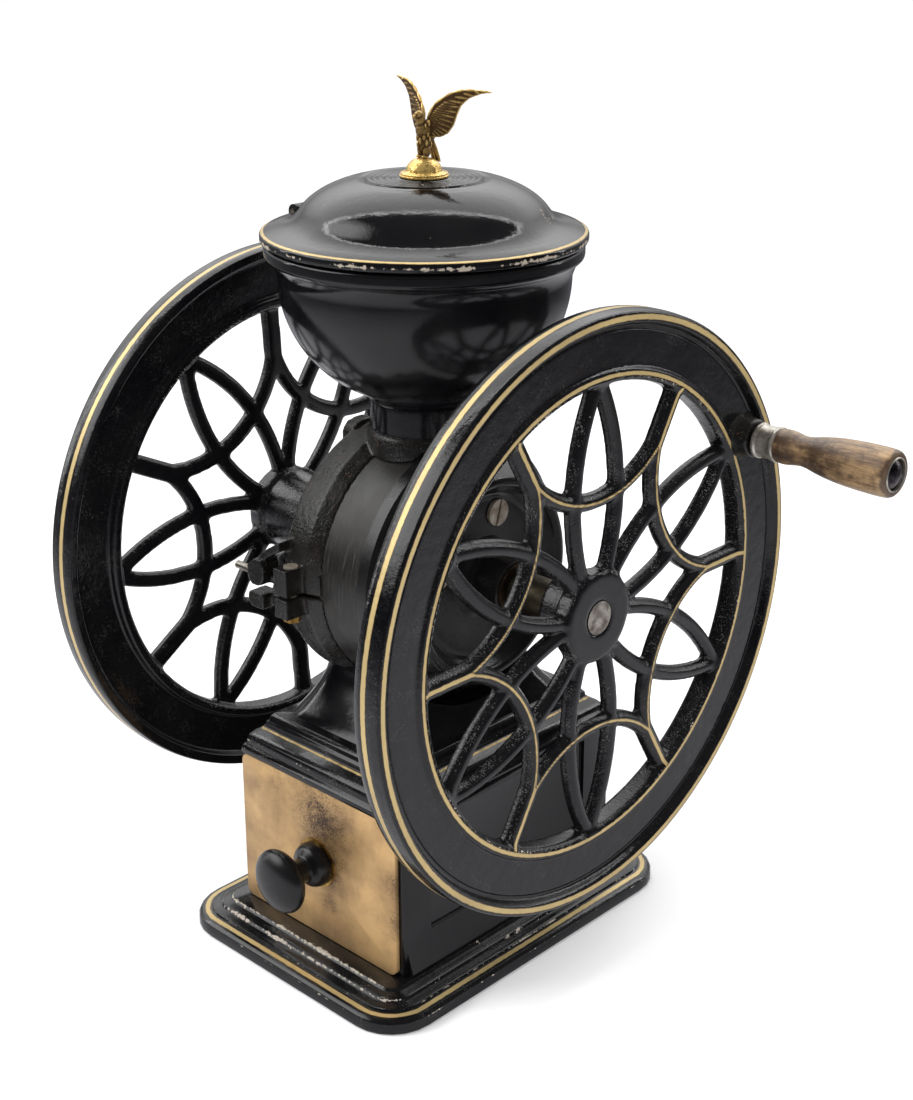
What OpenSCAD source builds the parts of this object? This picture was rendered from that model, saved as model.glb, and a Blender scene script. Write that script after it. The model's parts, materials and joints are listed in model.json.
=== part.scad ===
// Counter coffee grinder with two flywheels: hopper on top, burrs in the drum, drawer below.
// X runs along the axle towards the wheel with the handle, the drawer opens towards -Y, +Z is up.
// The origin is the centre of the base's underside. Sizes are in millimetres.

/* [Axle and wheels] */
// Height of the axle above the table
axle_h = 265; // [262:1:275]
// Radius of the axle
axle_r = 11; // [9:0.5:12]
// Outer radius of a wheel
wheel_r = 194.5; // [190:0.5:200]
// Distance from the middle of the mill to a wheel's outer face
wheel_face = 154.6; // [150:0.2:160]
// Width of a wheel's rim along the axle
rim_w = 20; // [18:0.5:24]
// Radial depth of a wheel's rim
rim_d = 43.7; // [40:0.1:46]
// Depth of the sunk band on the outer side of the rim
band_depth = 5.4; // [3:0.1:7]
// Radius of the arcs that form a petal
petal_arc = 150; // [140:1:160]
// Half width of a petal between the middles of its ribs
petal_half = 20.3; // [17:0.1:22]
// Width of a petal's rib
petal_rib = 9.5; // [7:0.1:10]
// Radius of the arc of a scallop
scallop_arc = 82; // [78:0.5:86]
// Distance from the axle to the lowest point of a scallop
scallop_dip = 76.5; // [72:0.5:80]
// Width of a scallop's rib
scallop_rib = 10; // [7:0.1:11]
// Thickness of the ribs along the axle
rib_t = 8.4; // [6:0.1:10]
// Radius of the hub's disc
hub_disc_r = 29.5; // [26:0.1:34]
// Radius of the hub's barrel
hub_r = 25; // [20:0.1:28]
// Length of the hub along the axle
hub_len = 28.6; // [24:0.1:32]
// Radius of the far hub's barrel
far_hub_r = 27.5; // [24:0.5:28]
// Length of the far hub along the axle
far_hub_len = 58; // [54:0.5:60]
// Turn of the far wheel against the near one, in degrees
far_turn = 33.7; // [0:0.1:59]

/* [Handle] */
// Distance from the wheel's edge in to the middle of the handle
handle_inset = 25; // [22:0.5:28]
// Angle of the handle above the level, in degrees
handle_turn = 30; // [0:1:59]
// Radius of the handle's rod
rod_r = 4.5; // [3:0.1:6]
// Length of the boss on the rim
rod_boss = 11; // [8:0.5:14]
// Length of the ferrule
ferrule_len = 17; // [12:0.5:20]
// Radius of the ferrule
ferrule_r = 12; // [11:0.1:13]
// Length of the bare wood beyond the ferrule
grip_len = 85.5; // [80:0.5:100]
// Largest radius of the grip
grip_r = 15.6; // [14:0.1:18]

/* [Base and drawer case] */
// Width of the base
base_w = 216; // [206:1:230]
// Depth of the base
base_d = 286; // [280:1:300]
// Height of the base
base_h = 19; // [17:0.5:24]
// Width of the drawer case
case_w = 156; // [150:1:160]
// Depth of the drawer case
case_d = 206; // [200:1:212]
// Height of the drawer case up to the cornice
case_h = 112; // [106:1:116]
// Wall of the drawer case
case_wall = 5; // [4:0.5:7]
// Width of a corner pilaster
pilaster_w = 26; // [20:1:32]
// Height of the cornice
cornice_h = 28; // [26:0.5:30]
// Width of the pedestal's top
pedestal_w = 88; // [84:1:92]
// Depth of the pedestal's top
pedestal_d = 116; // [110:1:120]

/* [Drawer] */
// Thickness of the brass front
front_t = 3.4; // [2:0.2:5]
// Wall of the drawer tray
tray_wall = 2.5; // [2:0.1:3]
// Height of the tray
tray_h = 84; // [70:1:90]
// Radius of the drawer knob
knob_r = 22.2; // [18:0.2:25]
// Distance from the brass front to the middle of the knob
knob_reach = 35; // [30:0.5:40]
// Height of the knob above the table
knob_h = 75; // [68:1:82]

/* [Drum] */
// Outer radius of the drum
drum_r = 86.4; // [84:0.2:88]
// Wall of the drum
drum_wall = 6; // [5:0.2:7]
// Far end of the drum
drum_far = -38; // [-40:0.5:-36]
// Near end of the drum
drum_near = 24; // [22:0.5:25]
// Outer radius of the casing ring
ring_r = 91.2; // [90:0.2:94]
// Width of the casing ring along the axle
ring_w = 21; // [19:0.5:22]
// Height of the split between the casing halves, from the axle
split_at = -7.5; // [-9:0.5:-6]
// Gap between the casing halves
split_gap = 2; // [1:0.2:3]
// Radius of the near cover's flange
flange_r = 89.5; // [88:0.2:92]
// Thickness of the near cover's flange
flange_t = 12; // [10:0.5:13]
// Height of the near cover's end face above its foot
cover_rise = 28; // [26:0.5:29]
// Height of the rounded rim above that face
rim_rise = 10.6; // [8:0.2:11]
// Radius of the middle of the rounded rim
cover_rim_r = 66.5; // [65:0.5:68]
// Height of the far bell's dome
bell_rise = 12; // [10:0.5:13]
// Radius of an axle boss
boss_r = 20; // [18:0.5:21]
// Length of the near axle boss beyond the cover's face
boss_len = 30; // [28:0.5:31]
// Length of the far axle boss beyond the bell's dome
far_boss_len = 28; // [26:0.5:29]
// Distance from the axle to the cover screws
screw_at = 43.5; // [43:0.5:45]
// Radius of a cover screw's head
screw_head_r = 9; // [7:0.2:10]

/* [Hopper and lid] */
// Radius of the neck
neck_r = 36.7; // [34:0.2:39]
// Height of the neck's top above the axle
neck_top = 114; // [112:0.5:118]
// Radius of the throat through the neck
throat_r = 29; // [26:0.5:31]
// Radius of the arc of the bowl's side
bowl_arc = 82.5; // [80:0.5:85]
// Wall of the bowl
bowl_wall = 5; // [4:0.2:6]
// Height of the bowl
bowl_h = 102; // [98:0.5:106]
// Radius of the bowl's lip
lip_r = 102.3; // [101:0.1:104]
// Radius of the lid
lid_r = 104.5; // [103:0.1:106]
// Height of the lid's dome
lid_rise = 37; // [34:0.5:42]
// Thickness of the lid
lid_t = 3; // [2.4:0.1:4]
// Radius of the raised disc on the lid
disc_r = 37; // [32:0.5:40]

/* [Bird] */
// Radius of the brass foot
foot_r = 15.7; // [13:0.1:18]
// Height of the brass foot
foot_h = 12.5; // [11:0.5:15]
// Height of the bird's shoulders above its foot
shoulder_h = 23; // [21:0.5:25]
// Length of a wing
wing_len = 43; // [40:0.5:48]
// Angle by which the wings sweep back, in degrees
wing_sweep = 20; // [12:1:30]

/* [Hidden] */
$fn = 96;

// Clearances
run_gap = 0.06;
free_gap = 0.3;
slide_gap = 1;
through = 1;

// Heights
case_z = base_h;
cornice_z = base_h + case_h;
top_z = cornice_z + cornice_h;
neck_z = axle_h + neck_top;
lip_z = neck_z + bowl_h;
lid_z = lip_z + free_gap;
disc_z = lid_z + lid_rise + 3;
disc_t = lid_t + 2;

// Wheel
rim_in = wheel_r - rim_d;
rim_back = wheel_face - rim_w;
lip_in = rim_in + 6.7;
lip_out = wheel_r - 8.5;
band_x = wheel_face - band_depth;
inner_lip_x = band_x + 1.9;
rib_front = band_x - 0.3;
rib_back = rib_front - rib_t;
crest_t = 2.4;
hub_front = wheel_face - 4;
hub_back = hub_front - hub_len;
barrel_end = rib_back - 6;
hub_pin_turn = 64;
petal_root = 2.65;
petal_tip = rim_in + 2.55;
petal_mid = (petal_root + petal_tip) / 2;
scallop_mid = scallop_dip + scallop_arc;
junction_r = scallop_mid * cos(30) - sqrt(pow(scallop_arc, 2) - pow(scallop_mid * sin(30), 2));
sector_r = junction_r + 14;
petals = 6;

// Handle
handle_at = wheel_r - handle_inset;
rod_y = handle_at * cos(handle_turn);
rod_z = axle_h + handle_at * sin(handle_turn);
boss_x = wheel_face - band_depth;
ferrule_x = boss_x + rod_boss + 2.8 + free_gap;
wood_x = ferrule_x + ferrule_len;
rod_head_r = 11;
rod_head_h = 6;
grip_end = wood_x + grip_len;
head_x = grip_end - 4.5;
tenon_r = ferrule_r - 2;
rod_nut_h = 7;

// Drawer case
drawer_w = case_w - 2 * case_wall;
drawer_floor = case_z + 3;
runner_h = 3;
runner_w = 12;
rail_w = 2;
rail_h = 12;
tray_z = drawer_floor + runner_h + free_gap;
front_y = -case_d / 2;
plate_w = 150;
plate_z = base_h + 0.5;
plate_h = case_h - 1;
tray_w = drawer_w - 2 * slide_gap - 4;
tray_d = case_d - case_wall - 6;
plate_back = front_y - free_gap;
plate_face = plate_back - front_t;
knob_z = knob_h;
knob_neck_r = 8;
chute_x = 7;
chute_w = 26;
chute_d = 50;

// Drum
ring_over = 4;
ring_far = drum_far - ring_over;
ring_near = ring_far + ring_w;
slope_w = 11;
root_out = 3;
root_top = 92;
lug_front = 105;
lug_x = [ring_far + 6, ring_far + 18];
lug_top = 18.5;
lug_bottom = 13.5;
clamp_x = (lug_x[0] + lug_x[1]) / 2;
clamp_y = 95;
clamp_r = 3;
clamp_head_r = 5;
clamp_head_h = 2.5;
clamp_nut_h = 4;
lug_pin_r = 2.7;
tab_t = 8;
tab_room = 4.5;
casing_reach = 90;
cover_face = drum_near + cover_rise;
rim_top = cover_rise + rim_rise;
rim_round = 4.5;
cover_bulge = 1.9;
cover_wall = 7;
spigot = 3;
boss_end = cover_face + boss_len;
bell_r = drum_r - free_gap;
bell_t = ring_over;
far_boss_end = bell_t + bell_rise + far_boss_len - drum_far;
far_hub_back = hub_front - far_hub_len;
bush_root = 8;
bush_r = axle_r + 4;
bush_lip = 1.5;
burr_gap = 0.5;
burr_t = 9;
fixed_x = drum_near - spigot;
burr_r = 62;
burr_in = 30;
worm_r = 26;
worm_core = 16;
worm_turn = 540;
worm_far = -32;
worm_near = fixed_x - burr_gap - burr_t;
sleeve_r = 13;

// Hinge
hinge_x = -lid_r - 9.5;
hinge_z = lid_z + 4.5;
hinge_r = 5;
hinge_pin_r = 2;
leaf_half = 5;
ear_t = 5;
foot_nut_r = 7;
foot_nut_h = 4;

// Points of an arc from angle a to angle b round a centre
function arc(c, r, a, b, n = 8) =
    [for (i = [0:n]) c + r * [cos(a + (b - a) * i / n), sin(a + (b - a) * i / n)]];
// Corners of a rectangle w by d with rounded corners, counter-clockwise
function round_rect(w, d, r, n = 6) = concat(
    arc([w / 2 - r, d / 2 - r], r, 0, 90, n), arc([r - w / 2, d / 2 - r], r, 90, 180, n),
    arc([r - w / 2, r - d / 2], r, 180, 270, n), arc([w / 2 - r, r - d / 2], r, 270, 360, n));
// A rounded rectangle's outline at one height
function level(w, d, r, z) = [for (q = round_rect(w, d, r)) [q[0], q[1], z]];

// A closed skin over outlines that all have the same number of points, from the lowest up
module loft(rings) {
    n = len(rings[0]);
    m = len(rings);
    polyhedron(
        [for (ring = rings) each ring],
        concat(
            [[for (i = [0:n - 1]) i]],
            [for (j = [0:m - 2], i = [0:n - 1])
                [j * n + i, (j + 1) * n + i, (j + 1) * n + (i + 1) % n, j * n + (i + 1) % n]],
            [[for (i = [n - 1:-1:0]) (m - 1) * n + i]]));
}

// Turns a shape's Z axis onto the axle
module on_axle(x = 0) translate([x, 0, axle_h]) rotate([0, 90, 0]) children();
// Moves a shape's Z axis onto the handle
module on_rod(x = 0) translate([x, rod_y, rod_z]) rotate([0, 90, 0]) children();
module bored(r, l) difference() {
    children();
    translate([0, 0, -through]) cylinder(r = r, h = l + 2 * through);
}

// Outline of a wheel's rim: outer radius and place along the axle, with both lips and the sunk band
module rim() rotate_extrude() polygon([
    [wheel_r, rim_back + 1.6], [wheel_r, wheel_face - 1.6], [wheel_r - 1.6, wheel_face],
    [lip_out + 1.5, wheel_face], [lip_out, wheel_face - 1.6], [lip_out - 1.5, band_x],
    [lip_in + 1.5, band_x], [lip_in, inner_lip_x], [rim_in + 1.7, inner_lip_x], [rim_in, inner_lip_x - 1.6],
    [rim_in, rib_back - 2.8], [rim_in + 1.5, rib_back - 4.3], [lip_in - 0.5, rib_back - 4.3],
    [lip_in + 1, rib_back], [lip_out - 1, rib_back], [lip_out + 1, rim_back],
    [wheel_r - 1.4, rim_back]]);
module lens(r) intersection_for(s = [-1, 1])
    translate([petal_mid, s * (petal_half - petal_arc)]) circle(r, $fn = 180);
module petal(w) difference() {
    lens(petal_arc + w / 2);
    lens(petal_arc - w / 2);
}
module scallop(w) intersection() {
    translate([scallop_mid, 0]) difference() {
        circle(scallop_arc + w / 2);
        circle(scallop_arc - w / 2);
    }
    polygon([[0, 0], [sector_r, sector_r * tan(30)], [sector_r, -sector_r * tan(30)]]);
}
module stem(w) rotate(30) translate([junction_r - 6, -w / 2]) square([petal_tip - junction_r + 6, w]);
module tracery(petal_w, scallop_w) intersection() {
    circle(rim_in + 3.2);
    for (k = [0:petals - 1]) rotate(360 / petals * k) {
        petal(petal_w);
        scallop(scallop_w);
        stem(scallop_w + 2);
    }
}
module wheel(turn, barrel_r, barrel_back) difference() {
    union() {
        rim();
        rotate(turn) {
            translate([0, 0, rib_back]) linear_extrude(height = rib_t - crest_t)
                tracery(petal_rib, scallop_rib);
            translate([0, 0, rib_front - crest_t]) linear_extrude(height = crest_t)
                tracery(petal_rib / 2, scallop_rib / 2);
        }
        translate([0, 0, barrel_back]) cylinder(r = barrel_r, h = barrel_end - barrel_back);
        translate([0, 0, barrel_end]) cylinder(r1 = barrel_r, r2 = barrel_r - 3, h = rib_back - barrel_end);
        translate([0, 0, rib_back - 2.5]) cylinder(r = hub_disc_r, h = hub_front - rib_back + 2.5);
    }
    translate([0, 0, barrel_back - through]) cylinder(r = axle_r, h = hub_front - barrel_back + 2 * through);
    hub_pin_shape(barrel_back);
}
// Pin through a hub's barrel and the axle
module hub_pin_shape(barrel_back) translate([0, 0, barrel_back + 7]) rotate([90, 0, hub_pin_turn])
    cylinder(r = 3, h = 2 * hub_disc_r, center = true);
module hub_pin(barrel_r, barrel_back) intersection() {
    hub_pin_shape(barrel_back);
    cylinder(r = barrel_r, h = 2 * wheel_face);
}
module mirror_far() mirror([1, 0, 0]) children();

module near_flywheel() color("dimgray") difference() {
    union() {
        on_axle() wheel(0, hub_r, hub_back);
        on_rod(boss_x - 1) cylinder(r1 = 15.5, r2 = 13.5, h = rod_boss + 3.8);
    }
    on_rod(rib_back - through) cylinder(r = rod_r, h = wheel_face);
}
module far_flywheel() color("dimgray") mirror_far() on_axle() wheel(far_turn, far_hub_r, far_hub_back);
module near_hub_pin() color("gray") on_axle() hub_pin(hub_r, hub_back);
module far_hub_pin() color("gray") mirror_far() on_axle() hub_pin(far_hub_r, far_hub_back);

module axle() color("silver") difference() {
    on_axle(-hub_front - 0.4) cylinder(r = axle_r, h = 2 * hub_front + 0.8);
    on_axle() hub_pin_shape(hub_back);
    mirror_far() on_axle() hub_pin_shape(far_hub_back);
    on_axle() worm_pin_shape();
}
module near_sleeve() color("darkkhaki") on_axle(boss_end + bush_lip + free_gap)
    bored(axle_r, hub_back) cylinder(r = sleeve_r, h = hub_back - boss_end - bush_lip - free_gap);
module far_sleeve() color("darkkhaki") mirror_far() on_axle(far_boss_end + bush_lip + free_gap)
    bored(axle_r, far_hub_back) cylinder(r = sleeve_r, h = far_hub_back - far_boss_end - bush_lip - free_gap);

module handle_rod() color("silver") {
    on_rod(rib_back - rod_nut_h - 2) cylinder(r = rod_r, h = head_x - rib_back + rod_nut_h + 2.5);
    on_rod(head_x) intersection() {
        cylinder(r = rod_head_r, h = rod_head_h);
        translate([0, 0, rod_head_h - 16]) sphere(16);
    }
}
module rod_nut() color("gray") on_rod(rib_back - rod_nut_h) bored(rod_r, rod_nut_h)
    cylinder(r = 9, h = rod_nut_h, $fn = 6);
module ferrule() color("silver") on_rod(ferrule_x) difference() {
    cylinder(r = ferrule_r, h = ferrule_len);
    translate([0, 0, -through]) cylinder(r = rod_r + run_gap, h = ferrule_len + 2 * through);
    translate([0, 0, 2]) cylinder(r = tenon_r, h = ferrule_len);
}
module grip() color("sienna") on_rod(ferrule_x) difference() {
    rotate_extrude() polygon(concat(
        [[0, 2], [tenon_r, 2], [tenon_r, ferrule_len], [ferrule_r - 1.2, ferrule_len]],
        [for (t = [0:0.1:1]) [ferrule_r - 1.6 + (grip_r - ferrule_r + 1.6) * (1 - cos(180 * t)) / 2,
            ferrule_len + 14 + t * (grip_len - 28)]],
        arc([grip_r - 5, ferrule_len + grip_len - 5], 5, 0, 75, 5),
        [[0, ferrule_len + grip_len]]));
    translate([0, 0, -through]) cylinder(r = rod_r + run_gap, h = ferrule_len + grip_len + 2 * through);
    translate([0, 0, ferrule_len + grip_len - 5]) cylinder(r = rod_head_r + 0.6, h = 10);
}

// Steps of the base's moulding: distance in from the edge, and height
base_steps = [[1.2, 0], [0, 1.5], [0, 7], [0.8, 9], [2.6, 10.4], [6, 11], [9.4, 11], [10, 12.6], [13, 13.2],
    [16, 13.8], [17, 15.6], [20, 16.4], [23, 17], [24.2, base_h], [25.4, base_h]];
base_corner = 34;
base_skin = 8;
rib_w = 10;
module base_plate() color("black") difference() {
    loft([for (s = base_steps) level(base_w - 2 * s[0], base_d - 2 * s[0], base_corner - s[0], s[1])]);
    difference() {
        translate([0, 0, -through]) linear_extrude(height = base_h - base_skin + through)
            polygon(round_rect(base_w - 24, base_d - 24, base_corner - 12));
        for (size = [[base_w, rib_w], [rib_w, base_d]]) translate([-size[0] / 2, -size[1] / 2, -2 * through])
            cube([size[0], size[1], base_h]);
    }
    base_screw_places() translate([0, 0, base_h / 2]) cylinder(r = 3, h = base_h);
}
module base_screw_places() for (x = [-1, 1], y = [-1, 1])
    translate([x * (case_w / 2 - 14), y * (case_d / 2 - 26), 0]) children();
module base_screws() color("gray") base_screw_places() {
    translate([0, 0, base_h - base_skin - 3]) cylinder(r = 5.5, h = 3);
    translate([0, 0, base_h - base_skin]) cylinder(r = 3, h = base_skin + drawer_floor - base_h);
}

panel_in = 3;
plinth_out = 5;
plinth_h = 17;
module drawer_case() color("black") difference() {
    union() {
        translate([-case_w / 2, front_y, case_z]) cube([case_w, case_d, case_h]);
        for (s = [0, 1]) mirror([s, 0, 0]) translate([0, case_d / 2, case_z]) rotate([90, 0, 0])
            linear_extrude(height = case_d - 4) polygon([[case_w / 2 - 1, 0], [case_w / 2 + plinth_out, 0],
                [case_w / 2 + plinth_out, 3], [case_w / 2, plinth_h], [case_w / 2 - 1, plinth_h]]);
    }
    translate([-drawer_w / 2, front_y - through, drawer_floor])
        cube([drawer_w, case_d - case_wall + through, cornice_z - drawer_floor + through]);
    for (s = [-1, 1]) translate([s * case_w / 2, 0, case_z + plinth_h + 8 + (case_h - plinth_h - 14) / 2])
        cube([2 * panel_in, case_d - 2 * pilaster_w, case_h - plinth_h - 14], center = true);
    translate([0, case_d / 2, case_z + plinth_h + 8 + (case_h - plinth_h - 14) / 2])
        cube([case_w - 2 * pilaster_w, 2 * panel_in, case_h - plinth_h - 14], center = true);
    base_screw_places() translate([0, 0, base_h - through]) cylinder(r = 3, h = 20);
}

// Steps of the cornice: distance in from the edge, and height above its foot
cornice_steps = [[0, 0], [0, 3.4], [1.4, 5], [3, 6], [3, 9], [4.2, 12], [7, 14.6], [10, 16], [12, 18],
    [13, 18.4],
    [13.4, 21.4], [15, 23], [16, 26], [18, cornice_h]];
cornice_out = 4;
// Hollow under the case top: distance in from the case's sides, and height above the cornice's foot
top_hollow = [[case_wall + 1, -through], [case_wall + 3, 5], [case_wall + 11, 14],
    [case_wall + 20, cornice_h - 7]];
module case_top() color("black") difference() {
    translate([0, 0, cornice_z]) loft([for (s = cornice_steps)
        level(case_w - 2 * s[0], case_d + 2 * cornice_out - 2 * s[0], max(1.5, 5 - s[0] / 4), s[1])]);
    translate([0, 0, cornice_z]) loft([for (s = top_hollow) level(case_w - 2 * s[0], case_d - 2 * s[0],
        3, s[1])]);
    chute_hole();
}
module chute_hole() translate([chute_x - chute_w / 2, -chute_d / 2, case_z])
    cube([chute_w, chute_d, axle_h - case_z - burr_in]);

module runner() translate([-drawer_w / 2, -case_d / 2 + 6, drawer_floor]) {
    cube([runner_w, case_d - case_wall - 6, runner_h]);
    cube([rail_w, case_d - case_wall - 6, rail_h]);
}
module runner_left() color("gray") runner();
module runner_right() color("gray") mirror([1, 0, 0]) runner();

// Outside of the drum, its casing ring and its near flange, which the pedestal is cut to
module drum_seat() on_axle() rotate_extrude() polygon([[0, -casing_reach], [ring_r, -casing_reach],
    [ring_r, ring_near], [drum_r + 0.6, ring_near + slope_w], [drum_r, ring_near + slope_w],
    [drum_r, drum_near],
    [flange_r + free_gap, drum_near], [flange_r + free_gap, casing_reach], [0, casing_reach]]);
pedestal_rise = 50;
pedestal_flare = [28, 48];
pedestal_corner = 16;
module pedestal() color("black") difference() {
    loft([for (t = [0:0.1:1]) level(pedestal_w + pedestal_flare[0] * pow(1 - t, 2.2),
        pedestal_d + pedestal_flare[1] * pow(1 - t, 2.2), pedestal_corner, top_z + t * pedestal_rise)]);
    drum_seat();
    chute_hole();
}

module throat() translate([0, 0, axle_h + worm_r + 2]) cylinder(r = throat_r, h = neck_top);
module drum() color("black") difference() {
    on_axle(drum_far) cylinder(r = drum_r, h = drum_near - drum_far);
    on_axle(drum_far - through) cylinder(r = drum_r - drum_wall, h = drum_near - drum_far + 2 * through);
    throat();
    chute_hole();
}

// Room that the drum and the near cover's flange take up
module drum_place() {
    on_axle(ring_far - tab_room) cylinder(r = drum_r, h = 2 * casing_reach);
    on_axle(drum_near - free_gap) cylinder(r = flange_r + free_gap, h = casing_reach);
}
// Split ring that grips the drum
module casing_ring() on_axle() rotate_extrude() polygon([[drum_r - 3, ring_far], [ring_r - 1, ring_far],
    [ring_r, ring_far + 1], [ring_r, ring_near], [drum_r + 0.6, ring_near + slope_w],
    [drum_r - 3, ring_near + slope_w]]);
module above_split() translate([-150, -150, axle_h + split_at + split_gap / 2]) cube([300, 300, 200]);
module below_split() translate([-150, -150, axle_h + split_at - split_gap / 2 - 200]) cube([300, 300, 200]);
lug_floor = split_at + split_gap / 2;
lug_roof = split_at - split_gap / 2;
module lug(z0, z1) translate([lug_x[0], -lug_front, axle_h + z0])
    cube([lug_x[1] - lug_x[0], lug_front - drum_r + 4, z1 - z0]);
module clamp_places() for (s = [0, 1]) mirror([0, s, 0]) children();
module clamp_hole() translate([clamp_x, -clamp_y, axle_h - 50]) cylinder(r = clamp_r, h = 100);
module clamp_recess() translate([clamp_x, -clamp_y, axle_h + lug_floor + lug_top - clamp_head_h + 0.5])
    cylinder(r = clamp_head_r + 0.3, h = 10);
// An outline of the front view, from the ring's far edge, between two distances in front of the axle
module in_front(y0, y1) translate([ring_far, -y0, axle_h]) rotate([90, 0, 0])
    linear_extrude(height = y1 - y0) children();
// Arm that sweeps from the ring out to the lug of the steel pin
arm_back = 84;
side_lug = [88, 102];
module arm() {
    in_front(arm_back, side_lug[1] - 3)
        polygon([[5, 27.5], [-8, 19.5], [-18, 11], [-24, 5], [-18, 3], [-8, 13], [5, 21]]);
    in_front(side_lug[0], side_lug[1]) polygon([[-24.5, 5.6], [-24.5, -1], [-23, -5], [-20, -7.2],
        [-16, -7.8], [-12, -6.4], [-9, -3.5], [-8, 0], [-8, 8], [-11, 11], [-18, 11]]);
    in_front(side_lug[0], side_lug[0] + 6) translate([-12, -6]) square([20, 5]);
}
module low_lug() {
    in_front(side_lug[0], side_lug[1]) polygon([[-24.5, -15], [-23, -13], [-10, -13], [-9, -14],
        [-9, -22], [-10, -23], [-21, -23], [-24.5, -20]]);
    in_front(side_lug[0], side_lug[0] + 7) translate([-12, -21]) square([20, 7]);
}
module lug_pin_shape() translate([ring_far - 41, -96, axle_h - 0.7]) rotate([0, 90, 0])
    cylinder(r = lug_pin_r, h = 28);
// Tab at the ring's far edge behind the neck: place across the mill, and height above the axle
tab_outline = [[-29, 70], [-29, 85], [-27.5, 88.5], [-24, 91], [-18, 92.3], [-11, 92.3], [-7.5, 90.5],
    [-6, 86], [-6, 70]];
module tab() on_axle(ring_far - tab_t) linear_extrude(height = tab_t + 2) difference() {
    polygon([for (q = tab_outline) [-q[1], q[0]]]);
    circle(bell_r - 6);
}
module neck() translate([0, 0, axle_h]) rotate_extrude() polygon([[0, drum_r - 16],
    [neck_r + root_out, drum_r - 16], [neck_r + root_out - 0.6, drum_r - 3],
    [neck_r + root_out - 1.4, root_top - 1.4], [neck_r + root_out - 2, root_top],
    [neck_r, root_top + 1.6], [neck_r, neck_top], [0, neck_top]]);
module upper_casing() color("black") difference() {
    union() {
        intersection() {
            casing_ring();
            above_split();
        }
        clamp_places() lug(lug_floor, lug_floor + lug_top);
        arm();
        tab();
        neck();
    }
    drum_place();
    clamp_places() clamp_hole();
    clamp_places() clamp_recess();
    lug_pin_shape();
    throat();
}
module lower_casing() color("black") difference() {
    union() {
        intersection() {
            casing_ring();
            below_split();
        }
        clamp_places() lug(lug_roof - lug_bottom, lug_roof);
        low_lug();
    }
    drum_place();
    clamp_places() clamp_hole();
}
module clamp_screw() difference() {
    translate([clamp_x, -clamp_y, axle_h]) {
        translate([0, 0, lug_floor + lug_top - clamp_head_h + 0.5])
            cylinder(r = clamp_head_r, h = clamp_head_h);
        translate([0, 0, lug_roof - lug_bottom - clamp_nut_h - 1])
            cylinder(r = clamp_r, h = lug_top + lug_bottom + split_gap + clamp_nut_h);
    }
    translate([clamp_x - 7, -clamp_y - 0.7, axle_h + lug_floor + lug_top - 0.7]) cube([14, 1.4, 3]);
}
module clamp_nut() translate([clamp_x, -clamp_y, axle_h + lug_roof - lug_bottom - clamp_nut_h])
    bored(clamp_r, clamp_nut_h)
    cylinder(r = 6, h = clamp_nut_h, $fn = 6);
module clamp_screw_front() color("gray") clamp_screw();
module clamp_screw_back() color("gray") mirror([0, 1, 0]) clamp_screw();
module clamp_nut_front() color("darkkhaki") clamp_nut();
module clamp_nut_back() color("darkkhaki") mirror([0, 1, 0]) clamp_nut();
module lug_pin() color("silver") lug_pin_shape();

// Point of the near cover's side, from its flange at 0 to its rounded rim at 1
cover_foot = [flange_r - 5, flange_t + 1.5];
cover_brow = [cover_rim_r + rim_round * cos(40), rim_top - rim_round * (1 - sin(40))];
function cover_side(t) = cover_foot + (cover_brow - cover_foot) * t + [4 * cover_bulge * t * (1 - t), 0];
burr_seat = burr_t - spigot;
// The near cover, from the inner face of its flange outwards
module cover_form() rotate_extrude() polygon(concat(
    [[bush_r, cover_rise - bush_root], [screw_at - 8, cover_rise - bush_root], [screw_at - 8, burr_seat],
        [screw_at + 8, burr_seat], [screw_at + 8, cover_rise - bush_root],
        [cover_rim_r - 10, cover_rise - bush_root],
        [cover_rim_r - 4, rim_top - 11.5], [cover_rim_r + 1, rim_top - 8]],
    [for (t = [0.7:-0.35:0]) cover_side(t) - [cover_wall, 1]],
    [[cover_foot[0] - cover_wall, -spigot], [drum_r - drum_wall, -spigot], [drum_r - drum_wall, 0],
    [flange_r - 1.5, 0],
        [flange_r, 1.5], [flange_r, flange_t - 2], [flange_r - 2, flange_t]],
    [for (t = [0:0.125:0.9]) cover_side(t)],
    arc([cover_rim_r, rim_top - rim_round], rim_round, 40, 165, 8),
    [[cover_rim_r - 7, rim_top - 6.6], [cover_rim_r - 9.5, rim_top - 9], [cover_rim_r - 12, cover_rise + 0.3],
        [cover_rim_r - 14.5, cover_rise], [boss_r + 8, cover_rise], [boss_r + 4, cover_rise + 1.8],
        [boss_r + 1.4, cover_rise + 5], [boss_r, cover_rise + 9], [boss_r, cover_rise + boss_len - 1],
        [boss_r - 1, cover_rise + boss_len], [bush_r, cover_rise + boss_len]]));
// The far bell, from the inner face of its flange outwards
bell_top = bell_t + bell_rise;
module bell_form() rotate_extrude() polygon(concat(
    [[bush_r, bell_top - bush_root], [boss_r + 6, bell_top - bush_root], [bell_r - 16, bell_t],
    [bell_r - 16, -spigot],
        [drum_r - drum_wall, -spigot], [drum_r - drum_wall, 0], [bell_r, 0], [bell_r, bell_t - 0.5]],
    [for (a = [10:10:90]) [boss_r + 4 + (bell_r - boss_r - 7.5) * cos(a), bell_t + bell_rise * sin(a)]],
    [[boss_r, bell_top + 3], [boss_r, bell_top + far_boss_len - 1], [boss_r - 1, bell_top + far_boss_len],
        [bush_r, bell_top + far_boss_len]]));
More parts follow.
